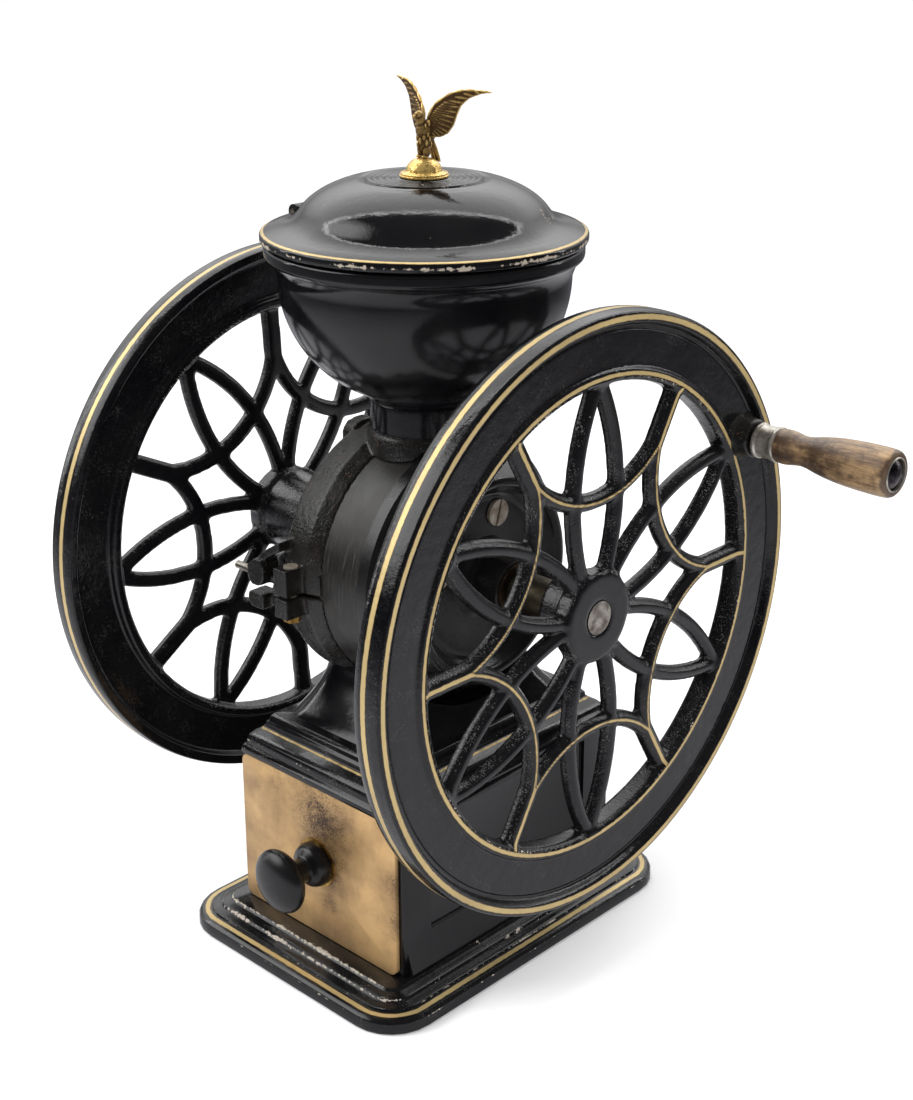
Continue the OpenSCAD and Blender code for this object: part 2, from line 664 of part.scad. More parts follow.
// Angles of the cover screws above the level at the back
cover_screw_turns = [73, 163, 343];
module screw_place(k) translate([0, 0, axle_h]) rotate([cover_screw_turns[k], 0, 0])
    translate([0, screw_at, 0])
    rotate([0, 90, 0]) children();
screw_seat = cover_face - 1;
screw_head_h = 3;
module near_end_cover() color("black") difference() {
    on_axle(drum_near) cover_form();
    for (k = [0:2]) screw_place(k) {
        cylinder(r = 3.5, h = 200);
        translate([0, 0, screw_seat]) cylinder(r = screw_head_r + 0.4, h = 20);
    }
}
module far_end_bell() color("black") mirror_far() on_axle(-drum_far) bell_form();
module cover_screw(k) color("gray") difference() {
    screw_place(k) {
        translate([0, 0, fixed_x + 2]) cylinder(r = 3.5, h = screw_seat - fixed_x - 1.5);
        translate([0, 0, screw_seat]) cylinder(r = screw_head_r, h = screw_head_h);
    }
    screw_place(k) rotate(90) translate([-12, -0.9, screw_seat + screw_head_h - 1.6]) cube([24, 1.8, 5]);
}
module cover_screw_1() cover_screw(0);
module cover_screw_2() cover_screw(1);
module cover_screw_3() cover_screw(2);

burr_teeth = 12;
module teeth(z) for (k = [0:burr_teeth - 1]) rotate(360 / burr_teeth * k)
    translate([burr_in + 2, 5, z]) rotate(12) cube([burr_r, 5, 3]);
module fixed_burr() color("gray") difference() {
    on_axle(fixed_x) difference() {
        cylinder(r = burr_r, h = burr_t);
        translate([0, 0, -through]) cylinder(r = burr_in, h = burr_t + 2 * through);
        teeth(-1.2);
    }
    for (k = [0:2]) screw_place(k) translate([0, 0, fixed_x + 2]) cylinder(r = 3.5, h = 50);
}
module turning_burr() color("gray") on_axle(worm_near) difference() {
    cylinder(r = burr_r, h = burr_t);
    translate([0, 0, -through]) cylinder(r = axle_r, h = burr_t + 2 * through);
    translate([0, 0, burr_t]) mirror([0, 0, 1]) teeth(-1.2);
}
module worm_pin_shape() translate([0, 0, worm_far + 6]) rotate([90, 0, 0])
    cylinder(r = 2.5, h = 2 * worm_core + 2, center = true);
module feed_worm() color("gray") difference() {
    on_axle() {
        translate([0, 0, worm_far]) cylinder(r = worm_core, h = worm_near - worm_far);
        loft([for (t = [0:1 / 36:1]) [for (q = [[worm_core - 3, -3], [worm_core - 3, 3], [worm_r, 1.5],
            [worm_r, -1.5]])
            [q[0] * cos(worm_turn * t), q[0] * sin(worm_turn * t),
                worm_far + 14 + q[1] + t * (worm_near - worm_far - 18)]]]);
    }
    on_axle(worm_far - through) cylinder(r = axle_r, h = 100);
    on_axle() worm_pin_shape();
}
module worm_pin() color("gray") on_axle() intersection() {
    worm_pin_shape();
    translate([0, 0, worm_far]) cylinder(r = worm_core, h = 20);
}

// Lipped bush in an axle boss that ends at the given place
module bush(end, depth) on_axle(end - depth) difference() {
    union() {
        cylinder(r = bush_r, h = depth);
        translate([0, 0, depth]) cylinder(r = bush_r + 2.5, h = bush_lip);
    }
    translate([0, 0, -through]) cylinder(r = axle_r + run_gap, h = depth + bush_lip + 2 * through);
}
module near_bush() color("darkkhaki") bush(boss_end, boss_len + bush_root);
module far_bush() color("darkkhaki") mirror_far() bush(far_boss_end, far_boss_len + bush_root);
nut_r = boss_r + 8;
nut_h = 9;
nut_in = 2;
module adjusting_nut() color("black") mirror_far() on_axle(far_boss_end - nut_in - nut_h) difference() {
    union() {
        cylinder(r = nut_r - 3, h = nut_h);
        for (a = [0:60:300]) rotate(a) translate([nut_r - 4, 0, 0]) cylinder(r = 4, h = nut_h);
    }
    translate([0, 0, -through]) cylinder(r = boss_r + run_gap, h = nut_h + 2 * through);
}

bowl_mid = [12, bowl_h - 20];
module hopper_bowl() color("black") difference() {
    union() {
        translate([0, 0, neck_z]) rotate_extrude() polygon(concat(
            [[throat_r, 0], [neck_r, 0], [neck_r + 2, 2]],
            arc(bowl_mid, bowl_arc, -70, 0, 16),
            [[lip_r - 4.8, bowl_h - 12], [lip_r - 0.6, bowl_h - 8.4], [lip_r, bowl_h - 7],
            [lip_r, bowl_h - 1.5],
                [lip_r - 1.5, bowl_h], [lip_r - 7, bowl_h], [lip_r - 9, bowl_h - 8]],
            arc(bowl_mid, bowl_arc - bowl_wall, 0, -75, 16),
            [[throat_r, 5]]));
        for (s = [0, 1]) mirror([0, s, 0]) translate([hinge_x - hinge_r, leaf_half + free_gap, lip_z - 8]) {
            cube([hinge_r * 2 + 8.6, ear_t, 7]);
            cube([2 * hinge_r - 1, ear_t, hinge_z - lip_z + 8]);
            translate([hinge_r, ear_t, hinge_z - lip_z + 8]) rotate([90, 0, 0])
                cylinder(r = hinge_r, h = ear_t);
        }
    }
    hinge_pin_shape(0);
}
module hinge_pin_shape(gap) translate([hinge_x, 0, hinge_z]) rotate([90, 0, 0])
    cylinder(r = hinge_pin_r + gap, h = 2 * (leaf_half + ear_t + 1.5), center = true);
module hinge_pin() color("silver") hinge_pin_shape(0);

// Height of the lid's dome over its foot, at an angle along its curve
function dome_point(a, t) = [30 + (lid_r - 50.5 - t) * cos(a), 13 + (lid_rise + 0.7 - 13 - t) * sin(a)];
module lid() color("black") difference() {
    union() {
        translate([0, 0, lid_z]) rotate_extrude() polygon(concat(
            [[lid_r - 3, 0], [lid_r, 1.2], [lid_r, 5.2], [lid_r - 1, 6.2], [lid_r - 8.5, 9.2],
            [lid_r - 16.5, 12.7]],
            [for (a = [8:8:88]) dome_point(a, 0)],
            [[disc_r, lid_rise + 0.7], [disc_r, disc_z - lid_z - 0.8], [disc_r - 0.8, disc_z - lid_z],
            [0, disc_z - lid_z],
                [0, disc_z - lid_z - disc_t], [foot_nut_r + 1, disc_z - lid_z - disc_t]],
            [for (a = [88:-8:8]) dome_point(a, lid_t)],
            [[lid_r - 18.5, 10], [lid_r - 9, 6]]));
        translate([hinge_x, -leaf_half, hinge_z - 3]) cube([14, 2 * leaf_half, 5.4]);
        translate([hinge_x, leaf_half, hinge_z]) rotate([90, 0, 0]) cylinder(r = hinge_r, h = 2 * leaf_half);
    }
    hinge_pin_shape(run_gap);
    translate([0, 0, disc_z - 20]) cylinder(r = 3, h = 40);
}

module bird_foot() color("gold") {
    translate([0, 0, disc_z]) rotate_extrude() polygon([[0, 0], [foot_r - 1, 0], [foot_r, 0.8],
        [foot_r - 0.3, 2],
        [foot_r - 1.7, 2.6], [foot_r - 3, 3], [foot_r - 3, 4.2], [foot_r - 3.6, 5.4], [foot_r - 5.5, 7.6],
        [foot_r - 8, 9.8], [foot_r - 9.6, foot_h - 0.8], [foot_r - 10.4, foot_h], [0, foot_h]]);
    translate([0, 0, disc_z - disc_t - 5]) cylinder(r = 3, h = disc_t + 5.5);
}
module foot_nut() color("gray") translate([0, 0, disc_z - disc_t - foot_nut_h]) bored(3, foot_nut_h)
    cylinder(r = foot_nut_r, h = foot_nut_h, $fn = 6);

// One wing seen from the front: the shoulder at the origin, the tip out along X
shoulder_z = disc_z + foot_h + shoulder_h;
wing_t = 2;
module wing() rotate([90, 0, 0]) linear_extrude(height = wing_t, center = true) polygon([
    [-2, 0], [5, 9.6], [11.6, 14.6], [18.4, 18.4], [25, 19.7], [33, 19.9], [wing_len, 20.2],
    [wing_len - 9, 18.6],
    [27, 16.4], [24, 11.8], [20.8, 7.9], [21, 3.5], [19, -2.5], [14.3, -8.1], [6.1, -11], [-1, -9]]);
module bird() color("gold") {
    translate([1, 2, shoulder_z]) rotate(wing_sweep) wing();
    translate([-1, 2, shoulder_z]) rotate(-wing_sweep) mirror([1, 0, 0]) rotate([0, -7, 0]) wing();
    hull() {
        translate([0, -1, shoulder_z - 6]) sphere(5.6, $fn = 28);
        translate([0, 1, shoulder_z - 13]) sphere(5.4, $fn = 28);
        translate([0, 3, shoulder_z - 17]) sphere(3.6, $fn = 28);
    }
    hull() {
        translate([0, -4, shoulder_z - 1]) sphere(3.4, $fn = 24);
        translate([0, -1.5, shoulder_z - 7]) sphere(4, $fn = 24);
    }
    translate([0, -6.6, shoulder_z - 1.6]) rotate([100, 0, 0]) cylinder(r1 = 1.6, r2 = 0.5, h = 4, $fn = 24);
    translate([0, 5, shoulder_z - 12]) rotate([62, 0, 0]) translate([0, -1, 0]) rotate([90, 0, 0])
        linear_extrude(height = 2, center = true) polygon([[-3, 2], [3, 2], [4.6, -14], [-4.6, -14]]);
    for (s = [-1, 1]) translate([s * 2.6, 1, disc_z + foot_h]) cylinder(r1 = 2, r2 = 2.6, h = 6, $fn = 24);
}

module drawer_tray() color("dimgray") difference() {
    translate([-tray_w / 2, plate_back, tray_z]) cube([tray_w, tray_d, tray_h]);
    translate([-tray_w / 2 + tray_wall, plate_back + tray_wall, tray_z + tray_wall])
        cube([tray_w - 2 * tray_wall, tray_d - 2 * tray_wall, tray_h]);
    knob_screw_shape();
}
module knob_screw_shape() translate([0, plate_back + tray_wall + 1, knob_z]) rotate([90, 0, 0])
    cylinder(r = 2.5, h = front_t + tray_wall + 15);
plate_corner = 6;
module drawer_front() color("goldenrod") difference() {
    translate([0, plate_back, plate_z + plate_h / 2]) rotate([90, 0, 0]) linear_extrude(height = front_t)
        polygon(round_rect(plate_w, plate_h, plate_corner));
    knob_screw_shape();
}
module on_knob(y) translate([0, y, knob_z]) rotate([90, 0, 0]) children();
ring_t = 1.2;
knob_half = 7.6;
module knob_ring() color("goldenrod") on_knob(plate_face) bored(2.5, ring_t) cylinder(r = 17.2, h = ring_t);
module drawer_knob() color("black") difference() {
    on_knob(plate_face - ring_t) rotate_extrude() polygon(concat(
        [[0, 0], [16, 0], [15.4, 3], [13.4, 6], [10.4, 8.6], [knob_neck_r, 12]],
        [for (a = [-68:8:84]) [knob_r * cos(a), knob_reach - ring_t + knob_half * sin(a)]],
        [[0, knob_reach - ring_t + knob_half]]));
    knob_screw_shape();
}
module knob_screw() color("gray") {
    knob_screw_shape();
    on_knob(plate_back + tray_wall + 2.6) cylinder(r = 4.6, h = 2.6);
}

base_plate();
base_screws();
drawer_case();
case_top();
runner_left();
runner_right();
pedestal();
drum();
lower_casing();
upper_casing();
clamp_screw_front();
clamp_screw_back();
clamp_nut_front();
clamp_nut_back();
lug_pin();
far_end_bell();
near_end_cover();
cover_screw_1();
cover_screw_2();
cover_screw_3();
fixed_burr();
near_bush();
far_bush();
adjusting_nut();
axle();
turning_burr();
feed_worm();
worm_pin();
near_flywheel();
far_flywheel();
near_hub_pin();
far_hub_pin();
near_sleeve();
far_sleeve();
handle_rod();
rod_nut();
ferrule();
grip();
hopper_bowl();
hinge_pin();
lid();
bird_foot();
bird();
foot_nut();
drawer_tray();
drawer_front();
drawer_knob();
knob_ring();
knob_screw();
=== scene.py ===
"""Looks of a two-wheel counter coffee grinder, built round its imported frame.

Sizes in the classes are millimetres in the frame's own axes: X along the axle towards the wheel with
the handle, -Y towards the drawer's front, Z up from the table. Meshes and materials are in metres.
"""

import json
import logging
import math
from collections.abc import Callable, Iterable, Sequence
from dataclasses import dataclass, field, replace
from enum import Enum

import bmesh
import bpy
from mathutils import Matrix, Vector, noise

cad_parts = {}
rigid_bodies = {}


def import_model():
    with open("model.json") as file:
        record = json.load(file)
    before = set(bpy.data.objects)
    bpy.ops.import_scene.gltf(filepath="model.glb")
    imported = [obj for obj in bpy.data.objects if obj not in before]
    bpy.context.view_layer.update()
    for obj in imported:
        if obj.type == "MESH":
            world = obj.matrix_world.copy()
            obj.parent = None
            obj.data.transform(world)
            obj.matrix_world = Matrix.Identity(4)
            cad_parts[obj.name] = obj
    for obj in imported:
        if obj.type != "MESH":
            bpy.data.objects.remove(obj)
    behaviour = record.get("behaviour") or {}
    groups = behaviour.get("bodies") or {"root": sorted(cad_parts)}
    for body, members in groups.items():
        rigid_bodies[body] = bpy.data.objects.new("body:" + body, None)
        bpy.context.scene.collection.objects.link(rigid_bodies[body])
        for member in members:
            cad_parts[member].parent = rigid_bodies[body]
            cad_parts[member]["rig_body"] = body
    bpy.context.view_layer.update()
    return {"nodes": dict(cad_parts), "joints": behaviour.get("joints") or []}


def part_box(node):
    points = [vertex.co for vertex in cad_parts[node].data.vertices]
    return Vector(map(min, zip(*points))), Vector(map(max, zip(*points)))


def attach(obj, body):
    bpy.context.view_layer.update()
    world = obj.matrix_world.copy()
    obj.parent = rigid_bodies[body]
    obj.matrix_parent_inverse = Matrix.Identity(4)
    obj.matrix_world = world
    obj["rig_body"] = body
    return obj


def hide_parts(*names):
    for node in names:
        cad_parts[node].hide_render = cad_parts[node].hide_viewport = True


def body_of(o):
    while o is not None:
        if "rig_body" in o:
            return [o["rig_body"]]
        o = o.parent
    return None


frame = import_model()
log = logging.getLogger("grinder")

MM = 0.001
# Distance in millimetres past which a point counts as far from any gold line
UNPAINTED = 4.0
Point = tuple[float, float]
Point3 = tuple[float, float, float]
Socket = bpy.types.NodeSocket
Value = float | tuple | Socket


class Side(Enum):
    """The two ends of the axle, as the sign of X."""

    NEAR = 1
    FAR = -1


# Measures taken from the frame


def low(node: str) -> Vector:
    """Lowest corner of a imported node, in millimetres."""
    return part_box(node)[0] / MM


def high(node: str) -> Vector:
    """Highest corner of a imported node, in millimetres."""
    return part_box(node)[1] / MM


def joint_place(name: str) -> Vector:
    """Place of a joint of the frame, in millimetres.

    Args:
        name: The joint's name.
    """
    found = next(joint for joint in frame["joints"] if joint["name"] == name)
    return Vector(found["pos_m"]) / MM


# Outlines


def rounded(points: Sequence[Point], radius: float, steps: int = 3) -> list[Point]:
    """Rounds the inner corners of an open outline.

    Args:
        points: Corners in order.
        radius: Wanted radius in millimetres, made smaller where a side is short.
        steps: Stretches of each rounding.

    Returns:
        The outline with an arc-like curve at each corner.
    """
    result = [points[0]]
    for before, corner, after in zip(points, points[1:], points[2:]):
        a, b, c = Vector(before), Vector(corner), Vector(after)
        reach = min(radius, (a - b).length * 0.45, (c - b).length * 0.45)
        start = b + (a - b).normalized() * reach
        end = b + (c - b).normalized() * reach
        for i in range(steps + 1):
            t = i / steps
            result.append(tuple(start * (1 - t) ** 2 + b * 2 * t * (1 - t) + end * t * t))
    result.append(points[-1])
    return result


def resampled(points: Sequence[Point], step: float) -> list[Point]:
    """Adds points so that no stretch of an outline is longer than a step.

    Args:
        points: The outline.
        step: Longest stretch in millimetres.
    """
    result = [points[0]]
    for a, b in zip(points, points[1:]):
        count = max(1, math.ceil(math.dist(a, b) / step))
        result += [(a[0] + (b[0] - a[0]) * i / count, a[1] + (b[1] - a[1]) * i / count) for i in range(1, count + 1)]
    return result


def arc(centre: Point, radius: float, start: float, end: float, steps: int = 12) -> list[Point]:
    """Points of an arc.

    Args:
        centre: Middle of the arc.
        radius: Its radius.
        start: First angle in degrees.
        end: Last angle in degrees.
        steps: Stretches of the arc.
    """
    turns = [math.radians(start + (end - start) * i / steps) for i in range(steps + 1)]
    return [(centre[0] + radius * math.cos(t), centre[1] + radius * math.sin(t)) for t in turns]


# Places of the axes that the round pieces turn about


def on_axle(x: float = 0.0, side: Side = Side.NEAR) -> Matrix:
    """Matrix that lays a shape's Z axis on the axle, pointing out of the given side."""
    spot = joint_place("wheel_turn") * MM
    spot.x = x * MM * side.value
    return Matrix.Translation(spot) @ Matrix.Rotation(math.pi / 2 * side.value, 4, "Y")


def on_rod(x: float) -> Matrix:
    """Matrix that lays a shape's Z axis on the handle's rod, pointing outwards."""
    spot = joint_place("grip_turn") * MM
    spot.x = x * MM
    return Matrix.Translation(spot) @ Matrix.Rotation(math.pi / 2, 4, "Y")


def upright(z: float) -> Matrix:
    """Matrix that stands a shape on the middle line at a height."""
    return Matrix.Translation((0, 0, z * MM))


# Meshes


def finished(bm: bmesh.types.BMesh, name: str, body: str, finish: "Finish", sharp: float = 35.0) -> bpy.types.Object:
    """Turns a bmesh into a piece that rides on a body.

    Args:
        bm: The shape, in metres and in its place.
        name: Name of the piece.
        body: Body of the frame that it moves with.
        finish: What the surface is.
        sharp: Angle in degrees past which an edge stays sharp.

    Returns:
        The new object, at the origin.
    """
    mesh = bpy.data.meshes.new(name)
    bm.to_mesh(mesh)
    bm.free()
    mesh.shade_smooth()
    mesh.set_sharp_from_angle(angle=math.radians(sharp))
    mesh.materials.append(finish.material())
    piece = bpy.data.objects.new(name, mesh)
    bpy.context.scene.collection.objects.link(piece)
    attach(piece, body)
    log.info("%s: %d faces on %s", name, len(mesh.polygons), body)
    return piece


def spun(outline: Sequence[Point], place: Matrix, steps: int = 160, closed: bool = True) -> bmesh.types.BMesh:
    """Revolves an outline of (radius, height) points.

    Args:
        outline: Points in millimetres.
        place: Matrix that puts the revolved shape in its place.
        steps: Stretches of a full turn.
        closed: Whether the last point joins the first.

    Returns:
        The revolved shape with its faces pointing outwards.
    """
    bm = bmesh.new()
    verts = [bm.verts.new((r * MM, 0, h * MM)) for r, h in outline]
    pairs = list(zip(verts, verts[1:]))
    if closed:
        pairs.append((verts[-1], verts[0]))
    edges = [bm.edges.new(pair) for pair in pairs]
    bmesh.ops.spin(bm, geom=verts + edges, cent=(0, 0, 0), axis=(0, 0, 1), dvec=(0, 0, 0),
                   angle=math.tau, steps=steps, use_merge=True, use_normal_flip=False, use_duplicate=False)
    bmesh.ops.remove_doubles(bm, verts=bm.verts, dist=1e-6)
    bmesh.ops.dissolve_degenerate(bm, edges=bm.edges, dist=1e-7)
    bmesh.ops.recalc_face_normals(bm, faces=bm.faces)
    bmesh.ops.transform(bm, matrix=place, verts=bm.verts)
    return bm


def copied(node: str) -> bmesh.types.BMesh:
    """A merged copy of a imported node's mesh."""
    bm = bmesh.new()
    bm.from_mesh(frame["nodes"][node].data)
    bmesh.ops.remove_doubles(bm, verts=bm.verts, dist=2e-6)
    bmesh.ops.dissolve_degenerate(bm, edges=bm.edges, dist=1e-7)
    return bm


def eased(bm: bmesh.types.BMesh, width: float, angle: float = 35.0, segments: int = 2) -> bmesh.types.BMesh:
    """Bevels the sharp edges of a shape, as casting and paint round them.

    Args:
        bm: The shape.
        width: Width of the bevel in millimetres.
        angle: Angle in degrees past which an edge counts as sharp.
        segments: Stretches of the rounding.
    """
    flat = [e for e in bm.edges if len(e.link_faces) == 2 and e.calc_face_angle(0) < math.radians(0.2)]
    bmesh.ops.dissolve_edges(bm, edges=flat, use_verts=False, use_face_split=False)
    edges = [e for e in bm.edges if len(e.link_faces) == 2 and e.calc_face_angle(0) > math.radians(angle)]
    bmesh.ops.bevel(bm, geom=edges, offset=width * MM, offset_type="OFFSET", segments=segments, profile=0.5,
                    affect="EDGES", clamp_overlap=True, material=-1)
    bmesh.ops.triangulate(bm, faces=[f for f in bm.faces if len(f.verts) > 4])
    return bm


def recast(bm: bmesh.types.BMesh, voxel: float, passes: int, swell: float = 0.0) -> bmesh.types.BMesh:
    """Melts a shape into one skin with soft corners, as an iron casting has.

    Args:
        bm: The shape, or several that overlap.
        voxel: Size of the finest detail in millimetres.
        passes: How many times the skin is smoothed.
        swell: How far the skin then moves outwards in millimetres, to make up for the smoothing.
    """
    mesh = bpy.data.meshes.new("recast")
    bm.to_mesh(mesh)
    holder = bpy.data.objects.new("recast", mesh)
    bpy.context.scene.collection.objects.link(holder)
    melt = holder.modifiers.new("melt", "REMESH")
    melt.mode = "VOXEL"
    melt.voxel_size = voxel * MM
    melted = holder.evaluated_get(bpy.context.evaluated_depsgraph_get()).to_mesh()
    bm.clear()
    bm.from_mesh(melted)
    bpy.data.objects.remove(holder)
    bpy.data.meshes.remove(mesh)
    for _ in range(passes):
        bmesh.ops.smooth_vert(bm, verts=bm.verts, factor=0.5, use_axis_x=True, use_axis_y=True, use_axis_z=True)
    if swell:
        bm.normal_update()
        for vert in bm.verts:
            vert.co += vert.normal * swell * MM
    return bm


def roughened(bm: bmesh.types.BMesh, depth: float, size: float, below: float) -> bmesh.types.BMesh:
    """Moves a fine mesh in and out along its normals, as sand leaves a casting.

    Args:
        bm: The shape.
        depth: Largest move in millimetres.
        size: Size of a lump in millimetres.
        below: Height in millimetres over which the skin stays smooth.
    """
    bm.normal_update()
    for vert in bm.verts:
        if vert.co.z > below * MM:
            continue
        vert.co += vert.normal * (noise.noise(vert.co / (size * MM)) - 0.3) * depth * MM
    return bm


def cut_off(bm: bmesh.types.BMesh, place: Point3, normal: Point3) -> bmesh.types.BMesh:
    """Cuts away what lies beyond a plane and closes the cut.

    Args:
        bm: The shape.
        place: A point of the plane, in millimetres.
        normal: Direction that points at the part that goes.
    """
    bmesh.ops.bisect_plane(bm, geom=bm.verts[:] + bm.edges[:] + bm.faces[:], dist=1e-6, clear_outer=True,
                           plane_co=Vector(place) * MM, plane_no=Vector(normal))
    bmesh.ops.holes_fill(bm, edges=[e for e in bm.edges if e.is_boundary], sides=0)
    return bm


def wear(piece: bpy.types.Object) -> None:
    """Stores how sharply each point of a fine mesh stands out, for paint that is rubbed off the edges."""
    bm = bmesh.new()
    bm.from_mesh(piece.data)
    bm.normal_update()
    stored = piece.data.attributes.new("edge", "FLOAT", "POINT")
    values = []
    for vert in bm.verts:
        away = [(e.other_vert(vert).co - vert.co).normalized() for e in vert.link_edges]
        values.append(max(0.0, -sum(vert.normal.dot(a) for a in away) / max(1, len(away))))
    stored.data.foreach_set("value", values)
    bm.free()


def gild(piece: bpy.types.Object, nearness: Callable[[Vector], float]) -> None:
    """Stores how far inside a gold line each point of a piece lies.

    Args:
        piece: The piece to paint.
        nearness: Gives, for a point in millimetres, the line's half width less the distance to its middle.
    """
    line = piece.data.attributes.new("gilt", "FLOAT", "POINT")
    line.data.foreach_set("value", [max(0.0, nearness(v.co / MM) + UNPAINTED) for v in piece.data.vertices])


# Materials


def linear(code: str) -> tuple[float, float, float, float]:
    """Linear colour of an sRGB hex code such as "#1a1a1a"."""
    parts = [int(code[i:i + 2], 16) / 255 for i in (1, 3, 5)]
    return (*(c / 12.92 if c <= 0.04045 else ((c + 0.055) / 1.055) ** 2.4 for c in parts), 1.0)


def add_node(tree: bpy.types.NodeTree, kind: str, inputs: dict[str | int, Value] | None = None,
             **settings: object) -> bpy.types.Node:
    """Adds a shader node.

    Args:
        tree: The material's tree.
        kind: Blender's name of the node, without its "ShaderNode" start.
        inputs: For each input, a value or the socket that feeds it.
        **settings: Attributes of the node itself.

    Returns:
        The node.
    """
    made = tree.nodes.new("ShaderNode" + kind)
    for name, value in settings.items():
        setattr(made, name, value)
    for name, value in (inputs or {}).items():
        if isinstance(value, Socket):
            tree.links.new(value, made.inputs[name])
        else:
            made.inputs[name].default_value = value
    return made


@dataclass(frozen=True)
class Finish:
    """A surface: its name, its slot in the record, and the shader that it builds."""

    name: str
    slot: str

    def shade(self, tree: bpy.types.NodeTree, where: Socket) -> bpy.types.Node:
        """Builds the shader and returns its node."""
        raise NotImplementedError

    def material(self) -> bpy.types.Material:
        """The Blender material, made once."""
        if self.name in bpy.data.materials:
            return bpy.data.materials[self.name]
        made = bpy.data.materials.new(self.name)
        made.use_nodes = True
        tree = made.node_tree
        tree.nodes.clear()
        where = add_node(tree, "TexCoord").outputs["Object"]
        shader = self.shade(tree, where)
        add_node(tree, "OutputMaterial", {"Surface": shader.outputs[0]})
        return made

    def dress(self, *nodes: str) -> None:
        """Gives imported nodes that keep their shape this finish."""
        for node in nodes:
            for held in frame["nodes"][node].material_slots:
                held.material = self.material()
            log.info("%s: dressed in %s", node, self.name)


@dataclass(frozen=True)
class Line:
    """A line round the middle axis: a rounded rectangle, or a circle where half and corner agree."""

    half: Point
    corner: float
    height: float
    reach: float = 1.3
    strength: float = 0.32
    front: float = 0.0

    def wearing(self, tree: bpy.types.NodeTree, where: Socket) -> Socket:
        """How much the paint is worn along the line, more of it at the drawer's front."""
        near = add_node(tree, "MapRange", {"Value": self.nearness(tree, where), "From Min": 0.0, "From Max": self.reach}).outputs[0]
        depth = add_node(tree, "SeparateXYZ", {0: where}).outputs["Y"]
        share = add_node(tree, "MapRange", {
            "Value": depth, "From Min": -104 * MM, "From Max": -116 * MM, "To Min": self.strength, "To Max": self.strength + self.front}).outputs[0]
        return add_node(tree, "Math", {0: near, 1: share}, operation="MULTIPLY").outputs[0]

    def nearness(self, tree: bpy.types.NodeTree, where: Socket) -> Socket:
        """Half width of the line less the distance to its middle, in millimetres."""
        hx, hy, corner = self.half[0] * MM, self.half[1] * MM, self.corner * MM
        folded = add_node(tree, "VectorMath", {0: where}, operation="ABSOLUTE").outputs[0]
        out = add_node(tree, "VectorMath", {0: folded, 1: (hx - corner, hy - corner, 9)}, operation="SUBTRACT").outputs[0]
        held = add_node(tree, "VectorMath", {0: out, 1: (0, 0, 0)}, operation="MAXIMUM").outputs[0]
        away = add_node(tree, "VectorMath", {0: held}, operation="LENGTH").outputs["Value"]
        level = add_node(tree, "SeparateXYZ", {0: where}).outputs["Z"]
        parts = add_node(tree, "CombineXYZ", {
            0: add_node(tree, "Math", {0: away, 1: corner}, operation="SUBTRACT").outputs[0],
            1: add_node(tree, "Math", {0: level, 1: self.height * MM}, operation="SUBTRACT").outputs[0]}).outputs[0]
        far = add_node(tree, "VectorMath", {0: parts}, operation="LENGTH").outputs["Value"]
        return add_node(tree, "Math", {0: far, 1: -1 / MM, 2: self.reach}, operation="MULTIPLY_ADD").outputs[0]


